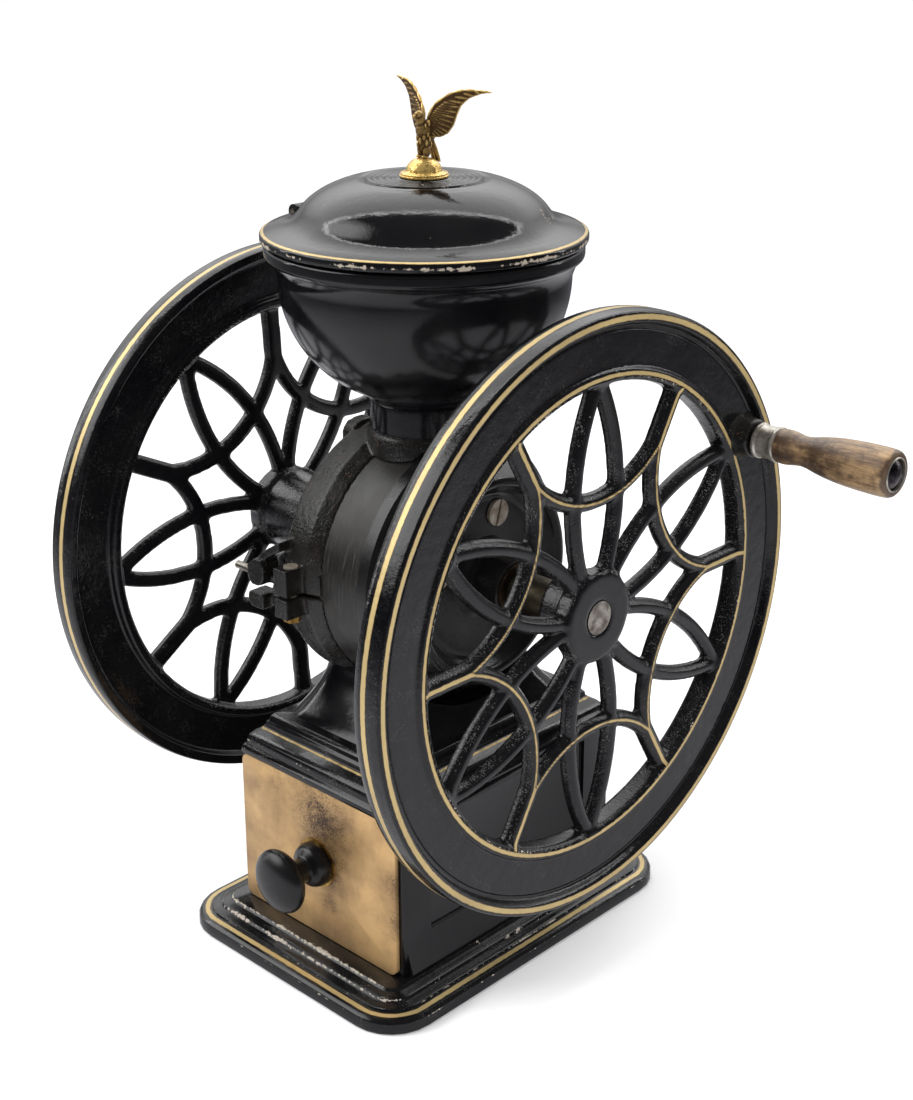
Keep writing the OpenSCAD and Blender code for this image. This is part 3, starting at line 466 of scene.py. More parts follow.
@dataclass(frozen=True)
class Enamel(Finish):
    """Baked black japan over sand-cast iron: wet-looking, dark, with the casting's grain telegraphing through."""

    colour: str = "#08080a"
    dusty: str = "#111112"
    gloss: float = 0.13
    grain: float = 1.1
    grain_depth: float = 0.04
    wave: float = 9.0
    wave_depth: float = 0.12
    chips: float = 0.0
    chip_colour: str = "#a39c8f"
    rust: float = 0.0
    rubbed: float = 0.0
    face_grain: float = 1.0
    # Share of the grain's tips painted pale: partly worn paint, partly a painted highlight of sparkle.
    tip_wear_and_glints: float = 0.0
    scratches: float = 0.0
    lines: tuple[Line, ...] = ()
    worn: tuple[Line, ...] = ()

    def gilding(self, tree: bpy.types.NodeTree, where: Socket, wobble: Socket) -> Socket:
        """How far inside a gold line a point lies, with the wobble of a hand-held brush."""
        stored = add_node(tree, "Attribute", attribute_name="gilt").outputs["Fac"]
        near = add_node(tree, "Math", {0: stored, 1: UNPAINTED}, operation="SUBTRACT").outputs[0]
        for line in self.lines:
            near = add_node(tree, "Math", {0: near, 1: line.nearness(tree, where)}, operation="MAXIMUM").outputs[0]
        return add_node(tree, "Math", {0: wobble, 1: 0.9, 2: near}, operation="MULTIPLY_ADD").outputs[0]

    def bareness(self, tree: bpy.types.NodeTree, where: Socket) -> Socket:
        """Mask of the places where the paint is gone: flakes, worn ridges and rubbed edges."""
        flakes = add_node(tree, "TexNoise", {
            "Vector": where, "Scale": 1 / (3.6 * MM), "Detail": 5.0, "Roughness": 0.7}).outputs["Fac"]
        patch = add_node(tree, "TexNoise", {"Vector": where, "Scale": 1 / (30 * MM), "Detail": 3.0}).outputs["Fac"]
        both = add_node(tree, "Math", {0: flakes, 1: patch}, operation="ADD").outputs[0]
        pull = add_node(tree, "Math", {
            0: add_node(tree, "Attribute", attribute_name="edge").outputs["Fac"], 1: self.rubbed}, operation="MULTIPLY").outputs[0]
        for line in self.worn:
            pull = add_node(tree, "Math", {0: pull, 1: line.wearing(tree, where)}, operation="MAXIMUM").outputs[0]
        total = add_node(tree, "Math", {0: both, 1: pull}, operation="ADD").outputs[0]
        limit = 1.42 - 0.2 * self.chips
        return add_node(tree, "MapRange", {"Value": total, "From Min": limit, "From Max": limit + 0.025}).outputs[0]

    def shade(self, tree: bpy.types.NodeTree, where: Socket) -> bpy.types.Node:
        """Builds black paint with gold lines, chips, rust and painted glints on the grain's worn tips."""
        fine = add_node(tree, "TexNoise", {"Vector": where, "Scale": 1 / (self.grain * MM), "Detail": 3.0})
        broad = add_node(tree, "TexNoise", {"Vector": where, "Scale": 1 / (self.wave * MM), "Detail": 2.0})
        cloud = add_node(tree, "TexNoise", {
            "Vector": where, "Scale": 1 / (45 * MM), "Detail": 5.0, "Roughness": 0.6}).outputs["Fac"]
        film = add_node(tree, "MapRange", {"Value": cloud, "From Min": 0.35, "From Max": 0.75}).outputs[0]
        colour = add_node(tree, "Mix", {0: film, 6: linear(self.colour), 7: linear(self.dusty)}, data_type="RGBA").outputs[2]
        roughness: Value = add_node(tree, "MapRange", {
            "Value": cloud, "From Min": 0.3, "From Max": 0.75, "To Min": self.gloss * 0.8, "To Max": self.gloss * 1.6}).outputs[0]
        facing = add_node(tree, "SeparateXYZ", {0: add_node(tree, "TexCoord").outputs["Normal"]}).outputs["X"]
        flat = add_node(tree, "Math", {0: facing}, operation="ABSOLUTE").outputs[0]
        strength = add_node(tree, "MapRange", {
            "Value": flat, "From Min": 0.75, "From Max": 0.95, "To Min": 1.0, "To Max": self.face_grain}).outputs[0]
        # Painted highlight: pale specks where the grain's tips would catch light, also standing for paint worn off the
        # tips.
        if self.tip_wear_and_glints:
            sand = add_node(tree, "TexNoise", {"Vector": where, "Scale": 1 / (1.0 * MM), "Detail": 2.0}).outputs["Fac"]
            region = add_node(tree, "TexNoise", {"Vector": where, "Scale": 1 / (14 * MM), "Detail": 2.0}).outputs["Fac"]
            both = add_node(tree, "Math", {0: region, 1: 0.5, 2: sand}, operation="MULTIPLY_ADD").outputs[0]
            tip = add_node(tree, "MapRange", {"Value": both, "From Min": 0.86, "From Max": 1.0, "To Max": self.tip_wear_and_glints}).outputs[0]
            lit = add_node(tree, "Math", {0: tip, 1: strength}, operation="MULTIPLY").outputs[0]
            colour = add_node(tree, "Mix", {0: lit, 6: colour, 7: linear("#8f8d8b")}, data_type="RGBA").outputs[2]
        if self.scratches:
            across = add_node(tree, "Mapping", {"Vector": where, "Scale": (1.0, 0.05, 0.05)}).outputs[0]
            fine_lines = add_node(tree, "TexNoise", {"Vector": across, "Scale": 1 / (0.9 * MM), "Detail": 4.0}).outputs["Fac"]
            scuffed = add_node(tree, "MapRange", {"Value": fine_lines, "From Min": 0.5, "From Max": 0.72, "To Max": self.scratches}).outputs[0]
            colour = add_node(tree, "Mix", {0: scuffed, 6: colour, 7: linear("#5a544c")}, data_type="RGBA").outputs[2]
            roughness = add_node(tree, "Math", {0: scuffed, 1: 0.5, 2: roughness}, operation="MULTIPLY_ADD").outputs[0]
        if self.rust:
            spots = add_node(tree, "TexNoise", {"Vector": where, "Scale": 1 / (4 * MM), "Detail": 5.0, "Roughness": 0.7})
            veil = add_node(tree, "MapRange", {
                "Value": spots.outputs["Fac"], "From Min": 0.70 - 0.12 * self.rust, "From Max": 0.76 - 0.1 * self.rust}).outputs[0]
            colour = add_node(tree, "Mix", {0: veil, 6: colour, 7: linear("#46291a")}, data_type="RGBA").outputs[2]
            roughness = add_node(tree, "Mix", {0: veil, 2: roughness, 3: 0.65}).outputs[0]
        if self.chips or self.rubbed or self.worn:
            bare = self.bareness(tree, where)
            colour = add_node(tree, "Mix", {0: bare, 6: colour, 7: linear(self.chip_colour)}, data_type="RGBA").outputs[2]
            roughness = add_node(tree, "Mix", {0: bare, 2: roughness, 3: 0.6}).outputs[0]
        wobble = add_node(tree, "TexNoise", {"Vector": where, "Scale": 1 / (5 * MM), "Detail": 3.0}).outputs["Fac"]
        inside = self.gilding(tree, where, wobble)
        gilt = add_node(tree, "MapRange", {"Value": inside, "From Min": 0.36, "From Max": 0.54}).outputs[0]
        core = add_node(tree, "MapRange", {"Value": inside, "From Min": 0.45, "From Max": 1.0}).outputs[0]
        gold = add_node(tree, "Mix", {0: core, 6: linear("#57431f"), 7: linear("#b9a372")}, data_type="RGBA").outputs[2]
        thin = add_node(tree, "MapRange", {"Value": cloud, "From Min": 0.4, "From Max": 0.8, "To Max": 0.7}).outputs[0]
        aged = add_node(tree, "Mix", {0: thin, 6: gold, 7: linear("#94805a")}, data_type="RGBA").outputs[2]
        colour = add_node(tree, "Mix", {0: gilt, 6: colour, 7: aged}, data_type="RGBA").outputs[2]
        roughness = add_node(tree, "Mix", {0: gilt, 2: roughness, 3: 0.38}).outputs[0]
        sheen = add_node(tree, "Math", {0: gilt, 1: 0.4}, operation="MULTIPLY").outputs[0]
        small = add_node(tree, "Bump", {
            "Height": fine.outputs["Fac"], "Distance": self.grain_depth * MM, "Strength": strength}).outputs[0]
        large = add_node(tree, "Bump", {
            "Height": broad.outputs["Fac"], "Distance": self.wave_depth * MM, "Normal": small}).outputs[0]
        return add_node(tree, "BsdfPrincipled", {
            "Base Color": colour, "Roughness": roughness, "Normal": large, "Metallic": sheen, "IOR": 1.5, "Specular IOR Level": 0.36})


@dataclass(frozen=True)
class Metal(Finish):
    """Bare metal with a soft tarnish, brushed or cast."""

    bright: str = "#b9b4aa"
    tarnish: str = "#5c5147"
    gloss: float = 0.3
    patch: float = 9.0
    grain: float = 0.6
    grain_depth: float = 0.02
    cover: float = 0.5
    metallic: float = 1.0
    relief: float = 0.0

    def shade(self, tree: bpy.types.NodeTree, where: Socket) -> bpy.types.Node:
        """Builds metal that darkens in clouds."""
        cloud = add_node(tree, "TexNoise", {
            "Vector": where, "Scale": 1 / (self.patch * MM), "Detail": 6.0, "Roughness": 0.62}).outputs["Fac"]
        fine = add_node(tree, "TexNoise", {"Vector": where, "Scale": 1 / (self.grain * MM), "Detail": 2.0}).outputs["Fac"]
        middle = 1 - self.cover
        spread = add_node(tree, "MapRange", {"Value": cloud, "From Min": middle - 0.16, "From Max": middle + 0.16}).outputs[0]
        colour = add_node(tree, "Mix", {0: spread, 6: linear(self.bright), 7: linear(self.tarnish)}, data_type="RGBA")
        tint = colour.outputs[2]
        if self.relief:
            ridge = add_node(tree, "MapRange", {
                "Value": add_node(tree, "Attribute", attribute_name="edge").outputs["Fac"], "From Max": self.relief}).outputs[0]
            tint = add_node(tree, "Mix", {0: ridge, 6: linear(self.tarnish), 7: tint}, data_type="RGBA").outputs[2]
        rough = add_node(tree, "MapRange", {
            "Value": cloud, "From Min": 0.25, "From Max": 0.75, "To Min": self.gloss * 0.7, "To Max": self.gloss * 1.5})
        bump = add_node(tree, "Bump", {"Height": fine, "Distance": self.grain_depth * MM})
        return add_node(tree, "BsdfPrincipled", {
            "Base Color": tint, "Roughness": rough.outputs[0], "Normal": bump.outputs[0], "Metallic": self.metallic})


@dataclass(frozen=True)
class Smudge:
    """A darker cloud on the brass plate: its middle, radius and strength."""

    middle: tuple[float, float, float]
    radius: float
    strength: float


@dataclass(frozen=True)
class PlateBrass(Finish):
    """Rolled brass sheet, dull from handling: warm tan, cloudy, with dark finger marks and pin-prick corrosion."""

    smudges: tuple[Smudge, ...] = ()

    def shade(self, tree: bpy.types.NodeTree, where: Socket) -> bpy.types.Node:
        """Builds the sheet's colour clouds, smudges and pits."""
        cloud = add_node(tree, "TexNoise", {
            "Vector": where, "Scale": 1 / (34 * MM), "Detail": 6.0, "Roughness": 0.58}).outputs["Fac"]
        spread = add_node(tree, "MapRange", {"Value": cloud, "From Min": 0.36, "From Max": 0.66}).outputs[0]
        colour = add_node(tree, "Mix", {0: spread, 6: linear("#c29e6c"), 7: linear("#927551")}, data_type="RGBA").outputs[2]
        ragged = add_node(tree, "TexNoise", {"Vector": where, "Scale": 1 / (9 * MM), "Detail": 5.0, "Roughness": 0.7})
        dark: Value = 0.0
        for smudge in self.smudges:
            centre = tuple(c * MM for c in smudge.middle)
            away = add_node(tree, "VectorMath", {0: where, 1: centre}, operation="DISTANCE").outputs["Value"]
            near = add_node(tree, "MapRange", {
                "Value": away, "From Min": smudge.radius * MM, "From Max": 0.0, "To Max": smudge.strength}).outputs[0]
            dark = add_node(tree, "Math", {0: dark, 1: near}, operation="MAXIMUM").outputs[0]
        specks = add_node(tree, "TexNoise", {"Vector": where, "Scale": 1 / (1.5 * MM), "Detail": 3.0}).outputs["Fac"]
        mixed = add_node(tree, "Math", {0: specks, 1: ragged.outputs["Fac"]}, operation="MULTIPLY").outputs[0]
        broken = add_node(tree, "Math", {0: dark, 1: mixed}, operation="MULTIPLY").outputs[0]
        stain = add_node(tree, "MapRange", {"Value": broken, "From Min": 0.07, "From Max": 0.3}).outputs[0]
        colour = add_node(tree, "Mix", {0: stain, 6: colour, 7: linear("#3b2a1c")}, data_type="RGBA").outputs[2]
        pits = add_node(tree, "TexVoronoi", {"Vector": where, "Scale": 1 / (4.2 * MM)}).outputs["Distance"]
        pit = add_node(tree, "MapRange", {"Value": pits, "From Min": 0.11, "From Max": 0.06}).outputs[0]
        few = add_node(tree, "MapRange", {"Value": ragged.outputs["Fac"], "From Min": 0.52, "From Max": 0.6}).outputs[0]
        pitted = add_node(tree, "Math", {0: pit, 1: few}, operation="MULTIPLY").outputs[0]
        colour = add_node(tree, "Mix", {0: pitted, 6: colour, 7: linear("#4a3222")}, data_type="RGBA").outputs[2]
        rough = add_node(tree, "MapRange", {
            "Value": cloud, "From Min": 0.3, "From Max": 0.7, "To Min": 0.30, "To Max": 0.5}).outputs[0]
        bump = add_node(tree, "Bump", {"Height": cloud, "Distance": 0.5 * MM}).outputs[0]
        return add_node(tree, "BsdfPrincipled", {
            "Base Color": colour, "Roughness": rough, "Normal": bump, "Metallic": 0.45})


@dataclass(frozen=True)
class Wood(Finish):
    """Turned hardwood, darkened by hands: open grain along the grip, scorched at the ferrule and dark at its end."""

    light: str = "#a28561"
    dark: str = "#56412f"
    ends: Point = (180.0, 266.0)

    def shade(self, tree: bpy.types.NodeTree, where: Socket) -> bpy.types.Node:
        """Builds long fibres along X, scorch marks and a hand polish."""
        along = add_node(tree, "Mapping", {"Vector": where, "Scale": (0.1, 1.0, 1.0)}).outputs[0]
        fibres = add_node(tree, "TexNoise", {
            "Vector": along, "Scale": 1 / (1.1 * MM), "Detail": 6.0, "Roughness": 0.7}).outputs["Fac"]
        rings = add_node(tree, "TexNoise", {"Vector": along, "Scale": 1 / (6 * MM), "Detail": 3.0}).outputs["Fac"]
        stain = add_node(tree, "TexNoise", {
            "Vector": where, "Scale": 1 / (12 * MM), "Detail": 5.0, "Roughness": 0.65}).outputs["Fac"]
        mixed = add_node(tree, "Math", {0: fibres, 1: rings}, operation="ADD").outputs[0]
        grain = add_node(tree, "MapRange", {"Value": mixed, "From Min": 0.78, "From Max": 1.22}).outputs[0]
        colour = add_node(tree, "Mix", {0: grain, 6: linear(self.dark), 7: linear(self.light)}, data_type="RGBA").outputs[2]
        place = add_node(tree, "SeparateXYZ", {0: where}).outputs["X"]
        start, end = self.ends[0] * MM, self.ends[1] * MM
        first = add_node(tree, "MapRange", {"Value": place, "From Min": start + 0.03, "From Max": start, "To Max": 0.16}).outputs[0]
        middle = add_node(tree, "MapRange", {"Value": place, "From Min": end - 0.02, "From Max": end - 0.05, "To Max": 0.1}).outputs[0]
        rim = add_node(tree, "MapRange", {"Value": place, "From Min": end - 0.004, "From Max": end - 0.001, "To Max": 0.3}).outputs[0]
        worn = add_node(tree, "Math", {0: add_node(tree, "Math", {0: first, 1: middle}, operation="MAXIMUM").outputs[0], 1: rim}, operation="MAXIMUM").outputs[0]
        burnt = add_node(tree, "Math", {0: worn, 1: stain}, operation="ADD").outputs[0]
        spread = add_node(tree, "MapRange", {"Value": burnt, "From Min": 0.48, "From Max": 0.68, "To Max": 0.8}).outputs[0]
        colour = add_node(tree, "Mix", {0: spread, 6: colour, 7: linear("#2e2018")}, data_type="RGBA").outputs[2]
        cuts = add_node(tree, "TexNoise", {
            "Vector": add_node(tree, "Mapping", {"Vector": where, "Scale": (1.0, 0.12, 0.12)}).outputs[0],
            "Scale": 1 / (1.3 * MM), "Detail": 4.0}).outputs["Fac"]
        cut = add_node(tree, "MapRange", {"Value": cuts, "From Min": 0.6, "From Max": 0.75, "To Max": 0.4}).outputs[0]
        colour = add_node(tree, "Mix", {0: cut, 6: colour, 7: linear("#4a382a")}, data_type="RGBA").outputs[2]
        bump = add_node(tree, "Bump", {"Height": fibres, "Distance": 0.25 * MM}).outputs[0]
        return add_node(tree, "BsdfPrincipled", {"Base Color": colour, "Roughness": 0.36, "Normal": bump})


@dataclass(frozen=True)
class Plaster(Finish):
    """Matt white paint of the studio's floor, with painted shade where it is mirrored."""

    def shade(self, tree: bpy.types.NodeTree, where: Socket) -> bpy.types.Node:
        """Builds matt white paint that mirror images see as painted shade: grey, and darker with distance."""
        mirrored = add_node(tree, "LightPath").outputs["Is Glossy Ray"]
        away = add_node(tree, "VectorMath", {0: where}, operation="LENGTH").outputs["Value"]
        off = add_node(tree, "MapRange", {"Value": away, "From Min": 0.6, "From Max": 1.5}).outputs[0]
        # Painted shade in reflections: the floor turns grey in mirror images and darker farther from the middle.
        paper = add_node(tree, "Mix", {0: off, 6: linear("#cacace"), 7: linear("#55555a")}, data_type="RGBA").outputs[2]
        colour = add_node(tree, "Mix", {0: mirrored, 6: linear("#f8f8f9"), 7: paper}, data_type="RGBA")
        return add_node(tree, "BsdfPrincipled", {"Base Color": colour.outputs[2], "Roughness": 0.9})


BASE_HALF = (108.0, 143.0)
BASE_CORNER = 34.0
CORNICE_HALF = (78.0, 107.0)


def base_line(inset: float, height: float, reach: float) -> Line:
    """A line on the base's moulding, a distance in from its edge."""
    return Line((BASE_HALF[0] - inset, BASE_HALF[1] - inset), BASE_CORNER - inset, height, reach)


def cornice_line(inset: float, height: float, reach: float) -> Line:
    """A line on the cornice, a distance in from its edge."""
    return Line((CORNICE_HALF[0] - inset, CORNICE_HALF[1] - inset), 3.0, height, reach)


BASE_GOLD = base_line(6.3, 11.4, 1.9)
BASE_WEAR = (replace(base_line(16.6, 15.0, 3.4), strength=0.16, front=0.24), replace(base_line(24.0, 18.6, 3.2), strength=0.12, front=0.3),
             base_line(9.7, 12.0, 0.9), base_line(0.3, 8.0, 1.0))
CORNICE_GOLD = cornice_line(11.0, 149.0, 1.1)
CORNICE_WEAR = (cornice_line(3.0, 140.2, 1.2), cornice_line(13.2, 152.4, 1.0), cornice_line(0.0, 134.6, 1.0))
LID_GOLD = Line((102.7, 102.7), 102.7, 488.6, 1.15)
LID_WEAR = (Line((104.5, 104.5), 104.5, 485.2, 2.6, 0.3, 0.0),)
ENAMEL = Enamel("black_japan", "enamel")
ENAMEL_LID = Enamel("black_japan_lid", "enamel", lines=(LID_GOLD,), worn=LID_WEAR, chips=0.75, chip_colour="#958b7e", gloss=0.09,
                    wave=6, wave_depth=0.12, grain=1.5, grain_depth=0.05)
ENAMEL_BASE = Enamel("black_japan_base", "enamel", lines=(BASE_GOLD,), worn=BASE_WEAR, chips=0.25, chip_colour="#a0978b", tip_wear_and_glints=0.1)
ENAMEL_CORNICE = Enamel("black_japan_cornice", "enamel", lines=(CORNICE_GOLD,), worn=CORNICE_WEAR, chips=0.05, tip_wear_and_glints=0.16)
ENAMEL_WHEEL = Enamel("black_japan_wheel", "enamel", grain=1.5, grain_depth=0.34, face_grain=0.16, gloss=0.17,
                     rubbed=0.55, tip_wear_and_glints=0.26)
ENAMEL_RIM = Enamel("black_japan_rim", "enamel", grain=1.4, grain_depth=0.12, face_grain=0.7, gloss=0.12, wave=8, wave_depth=0.32, tip_wear_and_glints=0.1)
ENAMEL_ROUGH = Enamel("black_japan_rough", "enamel", tip_wear_and_glints=0.16, colour="#0f0e0d", dusty="#1a1815", gloss=0.24, grain=1.2,
                      grain_depth=0.22, rust=0.6, rubbed=0.6, chip_colour="#8f8778")
ENAMEL_DRUM = Enamel("black_japan_drum", "enamel", colour="#0e0d0c", dusty="#191714", gloss=0.3, grain_depth=0.06, scratches=0.3)
ENAMEL_COVER = Enamel("black_japan_cover", "enamel", colour="#0c0b0b", gloss=0.2, grain_depth=0.08, rust=0.1)
KNOB_PAINT = Enamel("satin_black_knob", "knob_black", gloss=0.22, grain_depth=0.01, wave_depth=0.03)
STEEL = Metal("worn_steel", "steel")
SCREW_STEEL = Metal("rusted_screw_steel", "steel", bright="#b8b0a3", tarnish="#786757", gloss=0.42, metallic=0.55)
TIN = Metal("tinned_sheet", "steel", bright="#9c9c98", tarnish="#6a655c", gloss=0.4, patch=40)
IRON = Metal("oiled_iron", "iron", bright="#5e5a55", tarnish="#3a342f", gloss=0.45)
BRONZE = Metal("dull_bronze", "bronze", bright="#433d31", tarnish="#292620", gloss=0.5, grain=1.0, grain_depth=0.06)
BUSH_BRONZE = Metal("worn_bush_bronze", "bronze", bright="#63503f", tarnish="#352b24", gloss=0.45)
PLATE_BRASS = PlateBrass("rubbed_brass_plate", "brass", (
    Smudge((6.0, -106.7, 110.0), 42.0, 1.25), Smudge((6.0, -106.7, 80.0), 32.0, 1.3), Smudge((75.0, -106.7, 88.0), 20.0, 0.8),
    Smudge((77.0, -106.7, 58.0), 21.0, 0.8), Smudge((10.0, -106.7, 48.0), 16.0, 0.7), Smudge((-40.0, -106.7, 122.0), 20.0, 0.6)))
CAST_BRASS = Metal("cast_brass", "brass", bright="#d8b56e", tarnish="#4a341c", gloss=0.28, patch=9, cover=0.36, metallic=0.6,
                   relief=0.12)
FOOT_BRASS = Metal("turned_brass", "brass", bright="#dcbb70", tarnish="#7d5c2a", gloss=0.24, patch=4, grain=2.2,
                   grain_depth=0.6, cover=0.4, metallic=0.75)
NUT_BRASS = Metal("yellow_brass_nut", "brass", bright="#c9a45c", tarnish="#6d4d1f", gloss=0.28)
FERRULE_STEEL = Metal("rubbed_ferrule_steel", "steel", bright="#c3beb5", tarnish="#6f675c", gloss=0.3, cover=0.46, metallic=0.8)
DARK_STEEL = Metal("blackened_steel", "steel", bright="#5a5557", tarnish="#221f22", gloss=0.2, patch=3)
WOOD = Wood("turned_hardwood", "wood")
PLASTER = Plaster("pale_floor", "none")


def soften(node: str, finish: Finish, width: float = 0.5, angle: float = 35.0) -> bpy.types.Object:
    """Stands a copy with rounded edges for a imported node.

    Args:
        node: The node's name.
        finish: What the surface is.
        width: Width of the rounding in millimetres.
        angle: Angle in degrees past which an edge counts as sharp.
    """
    body = body_of(frame["nodes"][node])[0]
    piece = finished(eased(copied(node), width, angle), f"{node}_cast", body, finish)
    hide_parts(node)
    return piece


@dataclass
class Wheel:
    """A cast flywheel: a spun rim and the pierced tracery inside it."""

    side: Side
    turn: float
    gilded: bool
    rim_w: float = 20.0
    rim_d: float = 43.7
    band_depth: float = 5.4
    rib_t: float = 8.4
    petals: int = 6
    scallop_mid: float = 158.5
    scallop_arc: float = 82.0
    line_half: float = 0.95
    stem_half: float = 1.5
    radius: float = field(init=False)
    face: float = field(init=False)

    def __post_init__(self) -> None:
        """Takes the wheel's radius and outer face from the frame."""
        self.radius = (high("far_flywheel").z - low("far_flywheel").z) / 2
        self.face = -low("far_flywheel").x

    @property
    def name(self) -> str:
        """Start of the pieces' names."""
        return f"{self.side.name.lower()}_flywheel"

    def outline(self) -> list[Point]:
        """Half section of the rim: radius and place along the axle."""
        r, inside, face = self.radius, self.radius - self.rim_d, self.face
        back, band = face - self.rim_w, face - self.band_depth
        rib_back = band - 0.3 - self.rib_t
        corners = [(r - 0.9, back + 0.4), (r, back + 4), (r + 0.0, face - 7), (r - 0.7, face - 0.8), (r - 2.2, face),
                   (r - 6.4, face), (r - 8.2, face - 1.2), (r - 9.8, band), (r - 12.2, band - 0.5), (r - 13.0, band + 0.5),
                   (inside + 8.4, band), (inside + 6.9, band + 1.9), (inside + 2.2, band + 1.9), (inside + 0.2, band + 0.4),
                   (inside, band - 3), (inside, rib_back - 2), (inside + 1.6, rib_back - 4.2),
                   (inside + 6.2, rib_back - 4.2), (inside + 8.2, rib_back), (r - 9.4, rib_back), (r - 7.6, back + 0.6),
                   (r - 6.4, back), (r - 2.0, back)]
        closed = corners[-1:] + corners + corners[:1]
        return resampled(rounded(closed, 1.2)[1:-1], 1.6)

    def build_rim(self) -> None:
        """Spins the rim and paints its lines."""
        bm = spun(self.outline(), on_axle(0, self.side), steps=240)
        rim = finished(bm, f"{self.name}_rim", "rotor", ENAMEL_RIM)
        gild(rim, self.rim_line)
        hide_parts(self.name)

    def polar(self, point: Vector) -> tuple[float, float, float]:
        """Radius, angle within one petal's sector and place along the axle of a point."""
        local = point - joint_place("wheel_turn")
        angle = math.degrees(math.atan2(local.z, local.y)) - self.turn
        sector = 360 / self.petals
        return math.hypot(local.y, local.z), (angle + sector / 2) % sector - sector / 2, local.x * self.side.value

    def rim_line(self, point: Vector) -> float:
        """Nearness of a point of the rim to the stripes on its tread and its two lips."""
        radius, _, along = self.polar(point)
        tread = 2.0 - math.hypot(along - (self.face - 11.7), min(0.0, radius - self.radius + 2.5) * 2)
        if not self.gilded:
            return tread
        lip = 1.8 - math.hypot(radius - (self.radius - 4.5), (along - self.face) * 2)
        inner = 1.35 - math.hypot(radius - (self.radius - self.rim_d + 4.2), (along - self.face + 3.5) * 2)
        return max(tread, lip, inner)

    def tracery_line(self, point: Vector) -> float:
        """Nearness of a point of the tracery to the lines on its scallops and stems."""
        radius, angle, along = self.polar(point)
        if along < self.face - 8.2 or radius < 60:
            return -4.0
        turn = math.radians(angle)
        across = radius * math.sin(math.radians(180 / self.petals) - abs(turn))
        scallop = abs(math.hypot(radius * math.cos(turn) - self.scallop_mid, radius * math.sin(turn)) - self.scallop_arc)
        if radius > 114 and across < 7:
            return self.stem_half - across
        return self.line_half - scallop

    def build_tracery(self) -> None:
        """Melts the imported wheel's ribs and hub into one casting, cut off inside the rim."""
        bm = recast(copied(self.name), 1.35, 6, 0.7)
        centre = joint_place("wheel_turn") * MM
        cut = (self.radius - self.rim_d + 3.0) * MM
        outside = [v for v in bm.verts if math.hypot(v.co.y - centre.y, v.co.z - centre.z) > cut]
        bmesh.ops.delete(bm, geom=outside, context="VERTS")
        bmesh.ops.bridge_loops(bm, edges=[e for e in bm.edges if e.is_boundary])
        piece = finished(bm, f"{self.name}_tracery", "rotor", ENAMEL_WHEEL, sharp=80)
        wear(piece)
        if self.gilded:
            gild(piece, self.tracery_line)

    def build_boss(self) -> None:
        """Spins the boss that carries the handle's rod, with a fillet onto the sunk band."""
        top = low("ferrule").x - 0.4
        foot = self.face - self.band_depth
        outline = [(4.5, foot - 1), (17.6, foot - 0.6), (15.6, foot + 0.9), (14.4, foot + 3), (13.6, foot + 6), (13.0, top - 3.4),
                   (12.6, top - 2.2), (11.4, top - 1.6), (4.5, top - 1.6)]
        finished(spun(rounded(outline, 1.2), on_rod(0), steps=72), f"{self.name}_boss", "rotor", ENAMEL_ROUGH)

    def build(self) -> None:
        """Builds the whole wheel."""
        self.build_rim()
        self.build_tracery()
        if self.gilded:
            self.build_boss()


